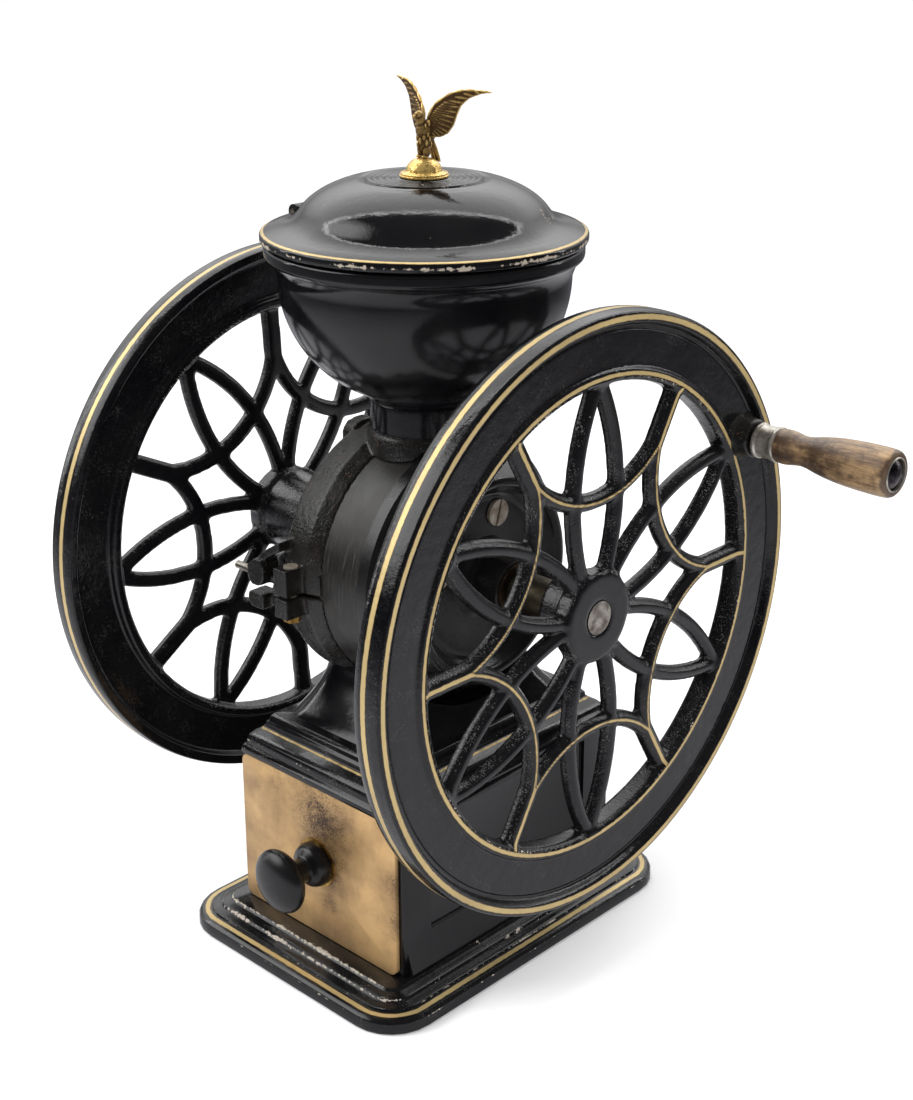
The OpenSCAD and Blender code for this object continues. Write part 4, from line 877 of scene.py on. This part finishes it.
@dataclass
class Hopper:
    """The bowl with its lid: spun iron, with the hinge's ears and leaf kept from the frame."""

    bowl_foot: float = 379.0
    bowl_mid: Point = (12.0, 82.0)
    bowl_arc: float = 82.5
    bowl_wall: float = 5.0
    lip: float = 102.3
    dome_mid: Point = (20.5, 489.3)
    dome_half: Point = (62.9, 33.8)
    crown: float = 520.9
    lid_wall: float = 3.0
    disc: float = 37.0
    disc_top: float = 521.3
    disc_rings: tuple[float, ...] = (18.5, 21.0, 25.0, 29.5, 33.0)
    crown_rings: tuple[float, ...] = (41.0, 45.5)

    def bowl_outline(self) -> list[Point]:
        """Half section of the bowl: radius and height above its foot."""
        side = arc(self.bowl_mid, self.bowl_arc, -70, 0, 40)
        lip = [(97.5, 90), (99.6, 91.6), (101.7, 93.6), (self.lip, 95.2), (self.lip, 100.4), (self.lip - 1.2, 102), (95.5, 102), (93.3, 94)]
        inside = arc(self.bowl_mid, self.bowl_arc - self.bowl_wall, 0, -75, 40)
        return [(29, 0), (36.7, 0), (38.7, 2)] + side + rounded(lip, 1.0) + inside + [(29, 5)]

    def dome(self, turn: float, inwards: float) -> Point:
        """Point of the dome at an angle in degrees along its curve, a distance under its skin."""
        a = math.radians(turn)
        top = self.crown - inwards
        height = self.dome_mid[1] + (self.dome_half[1] - inwards) * math.sin(a)
        return self.dome_mid[0] + (self.dome_half[0] - inwards) * math.cos(a), min(height, top - max(0.0, top - height) * 0.2)

    def lid_outline(self) -> list[Point]:
        """Half section of the lid: radius and height above the table."""
        top, r = self.disc_top, self.disc
        disc = [(3, top)]
        for ring in self.disc_rings:
            disc += [(ring - 0.6, top), (ring, top - 0.6), (ring + 0.6, top)]
        disc += [(r - 1.2, top), (r - 0.4, top - 0.5), (r, top - 1.5), (r + 0.6, top - 1.7), (r + 1.4, top - 0.7)]
        skin = [self.dome(a, 0) for a in range(70, 19, -2)]
        for ring in self.crown_rings:
            skin = [(x, y - 0.35 * max(0.0, 1 - abs(x - ring) / 1.2)) for x, y in skin]
        cove = [(82.3, 497.5), (85.2, 494.6), (89.6, 492.4), (95.0, 490.9), (102.6, 488.9), (104.0, 488.1), (104.5, 487.0),
                (104.5, 483.9), (103.8, 482.6), (101.5, 482.3), (95.5, 487.6), (84.0, 491.5)]
        under = [self.dome(a, self.lid_wall) for a in range(12, 70, 3)]
        return disc + skin + cove + under + [(38, 516.6), (33, 516.3), (3, 516.3)]

    def build(self) -> None:
        """Builds the bowl and the lid, each with its half of the hinge."""
        bowl = finished(spun(self.bowl_outline(), upright(self.bowl_foot), 200), "hopper_bowl_spun", "stand", ENAMEL, 50)
        finished(eased(cut_off(copied("hopper_bowl"), (-101.6, 0, 0), (1, 0, 0)), 0.7), "hopper_hinge_ears", "stand", ENAMEL)
        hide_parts("hopper_bowl")
        body = body_of(frame["nodes"]["lid"])[0]
        lid = finished(spun(self.lid_outline(), upright(0), 200), "lid_spun", body, ENAMEL_LID, 60)
        finished(eased(cut_off(copied("lid"), (-103.9, 0, 0), (1, 0, 0)), 0.7), "lid_hinge_leaf", body, ENAMEL)
        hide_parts("lid")


@dataclass
class Bird:
    """The brass bird on its turned foot: body, neck and tail from overlapping lumps, wings from rows of feathers."""

    shoulder: Point3 = (0.0, 2.0, 556.8)
    sweep: float = 20.0
    raise_left: float = 5.0
    leading: tuple[Point, ...] = ((0, 0), (4.8, 9.2), (11.6, 14.2), (18.4, 17.6), (25.2, 19.2), (33.3, 19.4), (44, 18.6))
    trailing: tuple[Point, ...] = ((2.5, -11), (9.5, -10.6), (14.8, -8.1), (18.6, -2.6), (20.6, 3.5), (23.4, 9.6), (29, 14.6), (36.5, 17.4))
    wing_root: Point = (0.5, -3.0)
    voxel: float = 0.42

    @staticmethod
    def along(points: Sequence[Point], t: float) -> Vector:
        """Point at a share t of the way along a broken line, counted by its corners."""
        place = t * (len(points) - 1)
        i = min(int(place), len(points) - 2)
        return Vector(points[i]).lerp(Vector(points[i + 1]), place - i)

    @staticmethod
    def lump(bm: bmesh.types.BMesh, place: Matrix, size: Point3) -> None:
        """Adds an ellipsoid with the given half sizes in millimetres."""
        ball = bpy.data.meshes.get("ball")
        if ball is None:
            ball = bpy.data.meshes.new("ball")
            start = bmesh.new()
            bmesh.ops.create_icosphere(start, subdivisions=3, radius=MM)
            start.to_mesh(ball)
            start.free()
        shaped = ball.copy()
        shaped.transform(place @ Matrix.Diagonal((*size, 1)))
        bm.from_mesh(shaped)
        bpy.data.meshes.remove(shaped)

    def feather(self, bm: bmesh.types.BMesh, place: Matrix, root: Vector, tip: Vector, size: Point, lift: float) -> None:
        """Adds a flat blade between two points of the wing's plane.

        Args:
            bm: The wing's mesh.
            place: Matrix of the wing.
            root: Start of the blade at the wing's front edge.
            tip: Its end.
            size: Half width and half thickness in millimetres.
            lift: How far it lies in front of the wing's middle plane.
        """
        middle, reach = (root + tip) / 2, tip - root
        turn = Matrix.Rotation(-math.atan2(reach.y, reach.x), 4, "Y")
        spot = Matrix.Translation(Vector((middle.x, lift, middle.y)) * MM)
        self.lump(bm, place @ spot @ turn, (reach.length * 0.515, size[1], size[0]))

    def wing(self, bm: bmesh.types.BMesh, place: Matrix) -> None:
        """Adds a wing: long blades, a shorter row over them and a thick front edge."""
        count = 27
        for i in range(count):
            t = i / (count - 1)
            root = Vector(self.wing_root).lerp(self.along(self.leading, 0.8 * t * t), t)
            tip = self.along(self.trailing, t)
            self.feather(bm, place, root, tip, (1.0, 0.75), 0.22 if i % 2 else -0.22)
            for row, share in enumerate((0.7, 0.4) if t < 0.75 else ()):
                end = root.lerp(tip, share * (0.93 + 0.07 * (i % 2)))
                for front in (-1, 1):
                    self.feather(bm, place, root, end, (0.85, 0.45), front * (0.45 + 0.2 * row))
        skin = [self.along(self.leading, i / 24) for i in range(25)]
        skin += [self.along(self.leading, i / 24).lerp(self.along(self.trailing, i / 24), 0.97) for i in range(24, -1, -1)]
        plate = bmesh.new()
        edge = [plate.verts.new(place @ (Vector((spot.x, -0.55, spot.y)) * MM)) for spot in skin]
        face = plate.faces.new(edge)
        pulled = bmesh.ops.extrude_face_region(plate, geom=[face])["geom"]
        thick = (place.to_3x3() @ Vector((0, 1.1, 0))) * MM
        bmesh.ops.translate(plate, vec=thick, verts=[v for v in pulled if isinstance(v, bmesh.types.BMVert)])
        bmesh.ops.recalc_face_normals(plate, faces=plate.faces)
        sheet = bpy.data.meshes.new("sheet")
        plate.to_mesh(sheet)
        plate.free()
        bm.from_mesh(sheet)
        bpy.data.meshes.remove(sheet)
        for a, b in zip(self.leading, self.leading[1:]):
            self.feather(bm, place, Vector(a), Vector(b), (1.15 - 0.008 * b[0], 1.25 - 0.01 * b[0]), 0)

    def body(self, bm: bmesh.types.BMesh) -> None:
        """Adds the breast, back, neck, head, beak, thighs and tail."""
        sx, sy, sz = self.shoulder
        lumps = (((0, -1.0, -6), (4.8, 5.6, 6.4)), ((0, 2.6, -9.5), (4.0, 5.4, 6.2)), ((0, -0.6, -14), (4.5, 4.6, 6.2)),
                 ((0, -4.0, 0.5), (2.9, 3.1, 4.8)), ((0, -5.4, 3.6), (2.5, 2.9, 2.5)), ((0, -8.2, 3.2), (0.9, 2.4, 0.9)),
                 ((0, -9.8, 2.4), (0.6, 0.8, 1.0)), ((2.6, -1.0, -18.5), (2.2, 2.8, 4.6)), ((-2.6, -1.0, -18.5), (2.2, 2.8, 4.6)),
                 ((2.5, -2.4, -22.4), (1.7, 3.0, 1.1)), ((-2.5, -2.4, -22.4), (1.7, 3.0, 1.1)))
        for (x, y, z), size in lumps:
            self.lump(bm, Matrix.Translation(Vector((sx + x, sy - 1 + y, sz + z)) * MM), size)
        for i in range(5):
            lean = Matrix.Rotation(math.radians(17), 4, "X") @ Matrix.Rotation(math.radians(5 * (i - 2)), 4, "Y")
            root = Matrix.Translation(Vector((sx, sy + 3.6, sz - 9)) * MM)
            self.lump(bm, root @ lean @ Matrix.Translation(Vector((0, 0.3 * (i % 2), -9.4)) * MM), (1.4, 1.0, 10.4))
        for i in range(30):
            turn, level = i * 2.4, -2.0 - i * 0.46
            spot = Vector((sx + 3.9 * math.cos(turn), sy - 1.6 + 4.4 * math.sin(turn), sz + level))
            self.lump(bm, Matrix.Translation(spot * MM), (1.1, 1.1, 2.4))

    def build(self) -> None:
        """Builds the bird and its foot."""
        bm = bmesh.new()
        x, y, z = self.shoulder
        right = Matrix.Translation(Vector((x + 1, y, z)) * MM) @ Matrix.Rotation(math.radians(self.sweep), 4, "Z")
        left = (Matrix.Translation(Vector((x - 1, y, z)) * MM) @ Matrix.Rotation(math.radians(-self.sweep), 4, "Z")
                @ Matrix.Scale(-1, 4, (1, 0, 0)) @ Matrix.Rotation(math.radians(-self.raise_left), 4, "Y"))
        self.wing(bm, right)
        self.wing(bm, left)
        self.body(bm)
        bmesh.ops.recalc_face_normals(bm, faces=bm.faces)
        body = body_of(frame["nodes"]["bird"])[0]
        bird = finished(recast(bm, self.voxel, 1), "bird_cast", body, CAST_BRASS, 180)
        wear(bird)
        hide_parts("bird")
        top = low("bird").z
        base = top - 12.5
        outline = [(0, base + 0.1), (14.8, base + 0.1), (15.8, base + 0.7), (15.8, base + 1.5), (15.0, base + 2.0), (15.2, base + 2.7),
                   (14.6, base + 3.2), (12.2, base + 3.5), (11.5, base + 3.9)]
        outline += [(11.3 * math.cos(t), base + 4.2 + 8.3 * math.sin(t)) for t in (0.05, 0.2, 0.4, 0.6, 0.8, 1.0, 1.2, 1.4)]
        outline += [(0, base + 12.5)]
        foot = finished(spun(outline, upright(0), 96), "bird_foot_turned", body, FOOT_BRASS, 40)
        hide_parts("bird_foot")


@dataclass
class Handle:
    """The turned grip and its ferrule on the wheel's rod."""

    start: float = 163.3
    ferrule: float = 12.0
    bore: float = 4.6
    wood: tuple[Point, ...] = ((0, 11.2), (4, 11.7), (9, 11.3), (14, 10.3), (19, 9.9), (24, 10.7), (30, 12.2), (37, 13.5), (46, 14.7),
                               (56, 15.4), (66, 15.8), (76, 15.9), (81.5, 15.7), (84.2, 14.9), (85.3, 13.4))

    def build(self) -> None:
        """Builds the wood and the ferrule."""
        curve = rounded([(r, 17 + s) for s, r in self.wood], 3.0, 4)
        wood = [(self.bore, 2), (10, 2), (10, 17), (10.9, 17)] + curve + [(11.6, 102.2), (11.6, 97.5), (self.bore, 97.5)]
        grip = finished(spun(wood, on_rod(self.start), 96), "grip_turned", "grip", WOOD, 50)
        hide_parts("grip")
        r = self.ferrule
        cap = [(self.bore, 0), (r - 1, 0), (r, 0.9), (r, 2.6), (r - 1.1, 3.3), (r - 1.1, 13.4), (r, 14.2), (r, 16.2), (r - 0.8, 17),
               (r - 1.9, 17), (r - 1.9, 2), (self.bore, 2)]
        ring = finished(spun(rounded(cap, 0.4, 2), on_rod(self.start), 96), "ferrule_rolled", body_of(frame["nodes"]["ferrule"])[0], FERRULE_STEEL)
        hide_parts("ferrule")
        edge = high("handle_rod").x - 3.2
        band = [(10.4, edge), (11.5, edge), (11.5, edge + 1.5), (11.1, edge + 2.0), (10.4, edge + 1.8)]
        finished(spun(band, on_rod(0), 96), "rod_head_ring", body_of(frame["nodes"]["handle_rod"])[0], FERRULE_STEEL)


@dataclass
class Drawer:
    """The brass front and the black mushroom knob."""

    knob: float = 22.2
    reach: float = 31.4
    half: float = 10.0

    def build(self) -> None:
        """Builds the knob and softens the plate's edges."""
        body = body_of(frame["nodes"]["drawer_knob"])[0]
        foot = high("drawer_knob").y
        place = Matrix.Translation(Vector((0, foot, 75)) * MM) @ Matrix.Rotation(math.pi / 2, 4, "X")
        foot_curve = rounded([(15.3, 0), (15.6, 2), (15.2, 4.8), (14, 7.8), (11, 9.8), (8.4, 11.4), (7.8, 14), (8.0, 19), (8.8, 22.2)], 1.6)
        cap = [(self.knob * math.cos(math.radians(a)), self.reach + self.half * math.sin(math.radians(a))) for a in range(-66, 87, 6)]
        outline = [(2.5, 0)] + foot_curve + cap + [(0, self.reach + self.half), (0, 20), (2.5, 20)]
        knob = finished(spun(outline, place, 120), "drawer_knob_turned", body, KNOB_PAINT, 40)
        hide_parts("drawer_knob")
        soften("drawer_front", PLATE_BRASS, 0.5)


@dataclass
class Castings:
    """Rough iron of the split casing, melted to one skin each, and the cast case and base with softened edges."""

    voxel: float = 1.0
    neck: float = 42.0
    neck_foot: float = 359.5

    def casing(self, node: str) -> None:
        """Melts a casing half, leaves sand marks on it and gives its neck the hopper's smooth paint."""
        bm = roughened(recast(copied(node), self.voxel, 3, 0.15), 0.16, 1.5, self.neck_foot - 4)
        piece = finished(bm, f"{node}_cast", "stand", ENAMEL_ROUGH, 80)
        piece.data.materials.append(ENAMEL.material())
        for face in piece.data.polygons:
            spot = face.center / MM
            if spot.z > self.neck_foot and math.hypot(spot.x, spot.y) < self.neck:
                face.material_index = 1
        wear(piece)
        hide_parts(node)

    def build(self) -> None:
        """Builds the casing halves and the softened castings."""
        self.casing("upper_casing")
        self.casing("lower_casing")
        soften("base_plate", ENAMEL_BASE, 0.4, 24)
        soften("case_top", ENAMEL_CORNICE, 0.4, 24)
        soften("drawer_case", ENAMEL, 0.8)
        soften("pedestal", ENAMEL, 1.2, 40)


@dataclass
class Studio:
    """Pale floor, soft light and the camera at the photograph's place."""

    camera_at: tuple[float, float, float] = (794.17, -795.40, 713.47)
    azimuth: float = 43.14
    elevation: float = 19.64
    roll: float = 0.15
    focal: float = 1787.5
    middle: Point = (480.0, 490.0)
    frame_size: Point = (913.0, 1100.0)
    sensor: float = 36.0
    backdrop: Point3 = (-0.68, 0.73, 0.05)
    paper: float = 1.06
    mirrored_paper: float = 0.52
    mirrored_room: float = 0.025
    mirrored_edge: float = 15.0
    window: Point3 = (-0.56, -0.60, 0.57)
    mirrored_window: float = 4.5
    mirrored_glow: float = 5.0

    def camera(self) -> None:
        """Places the camera with the photograph's lens and off-centre crop."""
        made = bpy.data.cameras.new("camera")
        width, height = self.frame_size
        made.sensor_width = self.sensor
        made.lens = self.focal / height * self.sensor
        made.shift_x = (width / 2 - self.middle[0]) / height
        made.shift_y = (self.middle[1] - height / 2) / height
        made.clip_end = 200
        held = bpy.data.objects.new("camera", made)
        a, e = math.radians(self.azimuth), math.radians(self.elevation)
        back = Vector((math.sin(a) * math.cos(e), -math.cos(a) * math.cos(e), math.sin(e)))
        turn = (-back).to_track_quat("-Z", "Y").to_matrix().to_4x4() @ Matrix.Rotation(math.radians(self.roll), 4, "Z")
        held.matrix_world = Matrix.Translation(Vector(self.camera_at) * MM) @ turn
        bpy.context.scene.collection.objects.link(held)
        bpy.context.scene.camera = held

    def floor(self) -> None:
        """Lays a wide pale flat floor."""
        bm = bmesh.new()
        bmesh.ops.create_grid(bm, x_segments=1, y_segments=1, size=30)
        mesh = bpy.data.meshes.new("floor")
        bm.to_mesh(mesh)
        bm.free()
        mesh.materials.append(PLASTER.material())
        floor = bpy.data.objects.new("floor", mesh)
        bpy.context.scene.collection.objects.link(floor)

    def lamp(self, name: str, spot: tuple[float, float, float], size: tuple[float, float], power: float) -> None:
        """Hangs a soft box that points at the drum and that gloss doesn't mirror.

        Args:
            name: Name of the lamp.
            spot: Its place in metres.
            size: Its width and height in metres.
            power: Its power in watts.
        """
        made = bpy.data.lights.new(name, "AREA")
        made.shape = "RECTANGLE"
        made.size, made.size_y = size
        made.energy = power
        held = bpy.data.objects.new(name, made)
        held.visible_glossy = False
        aim = Vector((0, 0, 0.28)) - Vector(spot)
        held.matrix_world = Matrix.Translation(spot) @ aim.to_track_quat("-Z", "Y").to_matrix().to_4x4()
        bpy.context.scene.collection.objects.link(held)

    def sky(self) -> None:
        """Shows white paper all round, mirrored as paper behind the mill and as a dim room in front of it."""
        world = bpy.data.worlds.new("room")
        bpy.context.scene.world = world
        world.use_nodes = True
        tree = world.node_tree
        tree.nodes.clear()
        aim = add_node(tree, "TexCoord").outputs["Generated"]
        behind = add_node(tree, "VectorMath", {0: aim, 1: Vector(self.backdrop).normalized()}, operation="DOT_PRODUCT").outputs["Value"]
        dim = add_node(tree, "MapRange", {
            "Value": behind, "From Min": 0.28, "From Max": 0.42, "To Min": self.mirrored_room, "To Max": self.mirrored_paper}).outputs[0]
        height = add_node(tree, "SeparateXYZ", {0: aim}).outputs["Z"]
        lit = add_node(tree, "MapRange", {
            "Value": height, "From Min": 0.15, "From Max": 0.5, "To Min": 1.0, "To Max": self.mirrored_glow}).outputs[0]
        part = add_node(tree, "Math", {0: dim, 1: lit}, operation="MULTIPLY").outputs[0]
        off = add_node(tree, "Math", {0: behind, 1: 0.34}, operation="SUBTRACT").outputs[0]
        away = add_node(tree, "Math", {0: off}, operation="ABSOLUTE").outputs[0]
        edge = add_node(tree, "MapRange", {
            "Value": away, "From Min": 0.0, "From Max": 0.03, "To Min": self.mirrored_edge, "To Max": 0.0}).outputs[0]
        beside = add_node(tree, "VectorMath", {0: aim, 1: Vector(self.window).normalized()}, operation="DOT_PRODUCT").outputs["Value"]
        pane = add_node(tree, "MapRange", {
            "Value": beside, "From Min": 0.89, "From Max": 0.985, "To Max": self.mirrored_window}, interpolation_type="SMOOTHSTEP").outputs[0]
        open_sky = add_node(tree, "Math", {0: part, 1: edge}, operation="ADD").outputs[0]
        room = add_node(tree, "Math", {0: open_sky, 1: pane}, operation="ADD").outputs[0]
        mirrored = add_node(tree, "LightPath").outputs["Is Glossy Ray"]
        power = add_node(tree, "Mix", {0: mirrored, 2: self.paper, 3: room}).outputs[0]
        paper = add_node(tree, "Background", {"Color": (1, 1, 1, 1), "Strength": power}).outputs[0]
        add_node(tree, "OutputWorld", {"Surface": paper})
        bpy.context.scene.view_settings.view_transform = "Standard"

    def build(self) -> None:
        """Builds the studio."""
        self.camera()
        self.floor()
        self.sky()
        self.lamp("left_window", (-1.2, -1.3, 1.5), (1.0, 1.4), 34)
        self.lamp("right_fill", (1.9, -0.4, 1.0), (0.8, 1.4), 12)
        self.lamp("top", (0.2, 0.2, 2.2), (1.2, 1.2), 16)


def main() -> None:
    """Builds the grinder's looks in order."""
    logging.basicConfig(level=logging.INFO, format="%(message)s")
    Studio().build()
    Wheel(Side.NEAR, 30.0, True).build()
    Wheel(Side.FAR, 3.7, False).build()
    Castings().build()
    Hopper().build()
    Bird().build()
    Handle().build()
    Drawer().build()
    ENAMEL_DRUM.dress("drum")
    ENAMEL_COVER.dress("near_end_cover", "far_end_bell", "adjusting_nut")
    STEEL.dress("axle", "rod_nut", "lug_pin", "hinge_pin")
    DARK_STEEL.dress("handle_rod")
    SCREW_STEEL.dress("near_hub_pin", "far_hub_pin", "cover_screw_1", "cover_screw_2", "cover_screw_3", "clamp_screw_front", "clamp_screw_back",
                      "base_screws", "knob_screw", "foot_nut")
    TIN.dress("drawer_tray")
    IRON.dress("runner_left", "runner_right", "fixed_burr", "turning_burr", "feed_worm", "worm_pin")
    BRONZE.dress("near_sleeve", "far_sleeve")
    BUSH_BRONZE.dress("near_bush", "far_bush")
    NUT_BRASS.dress("clamp_nut_front", "clamp_nut_back", "knob_ring")


if __name__ == "__main__":
    main()
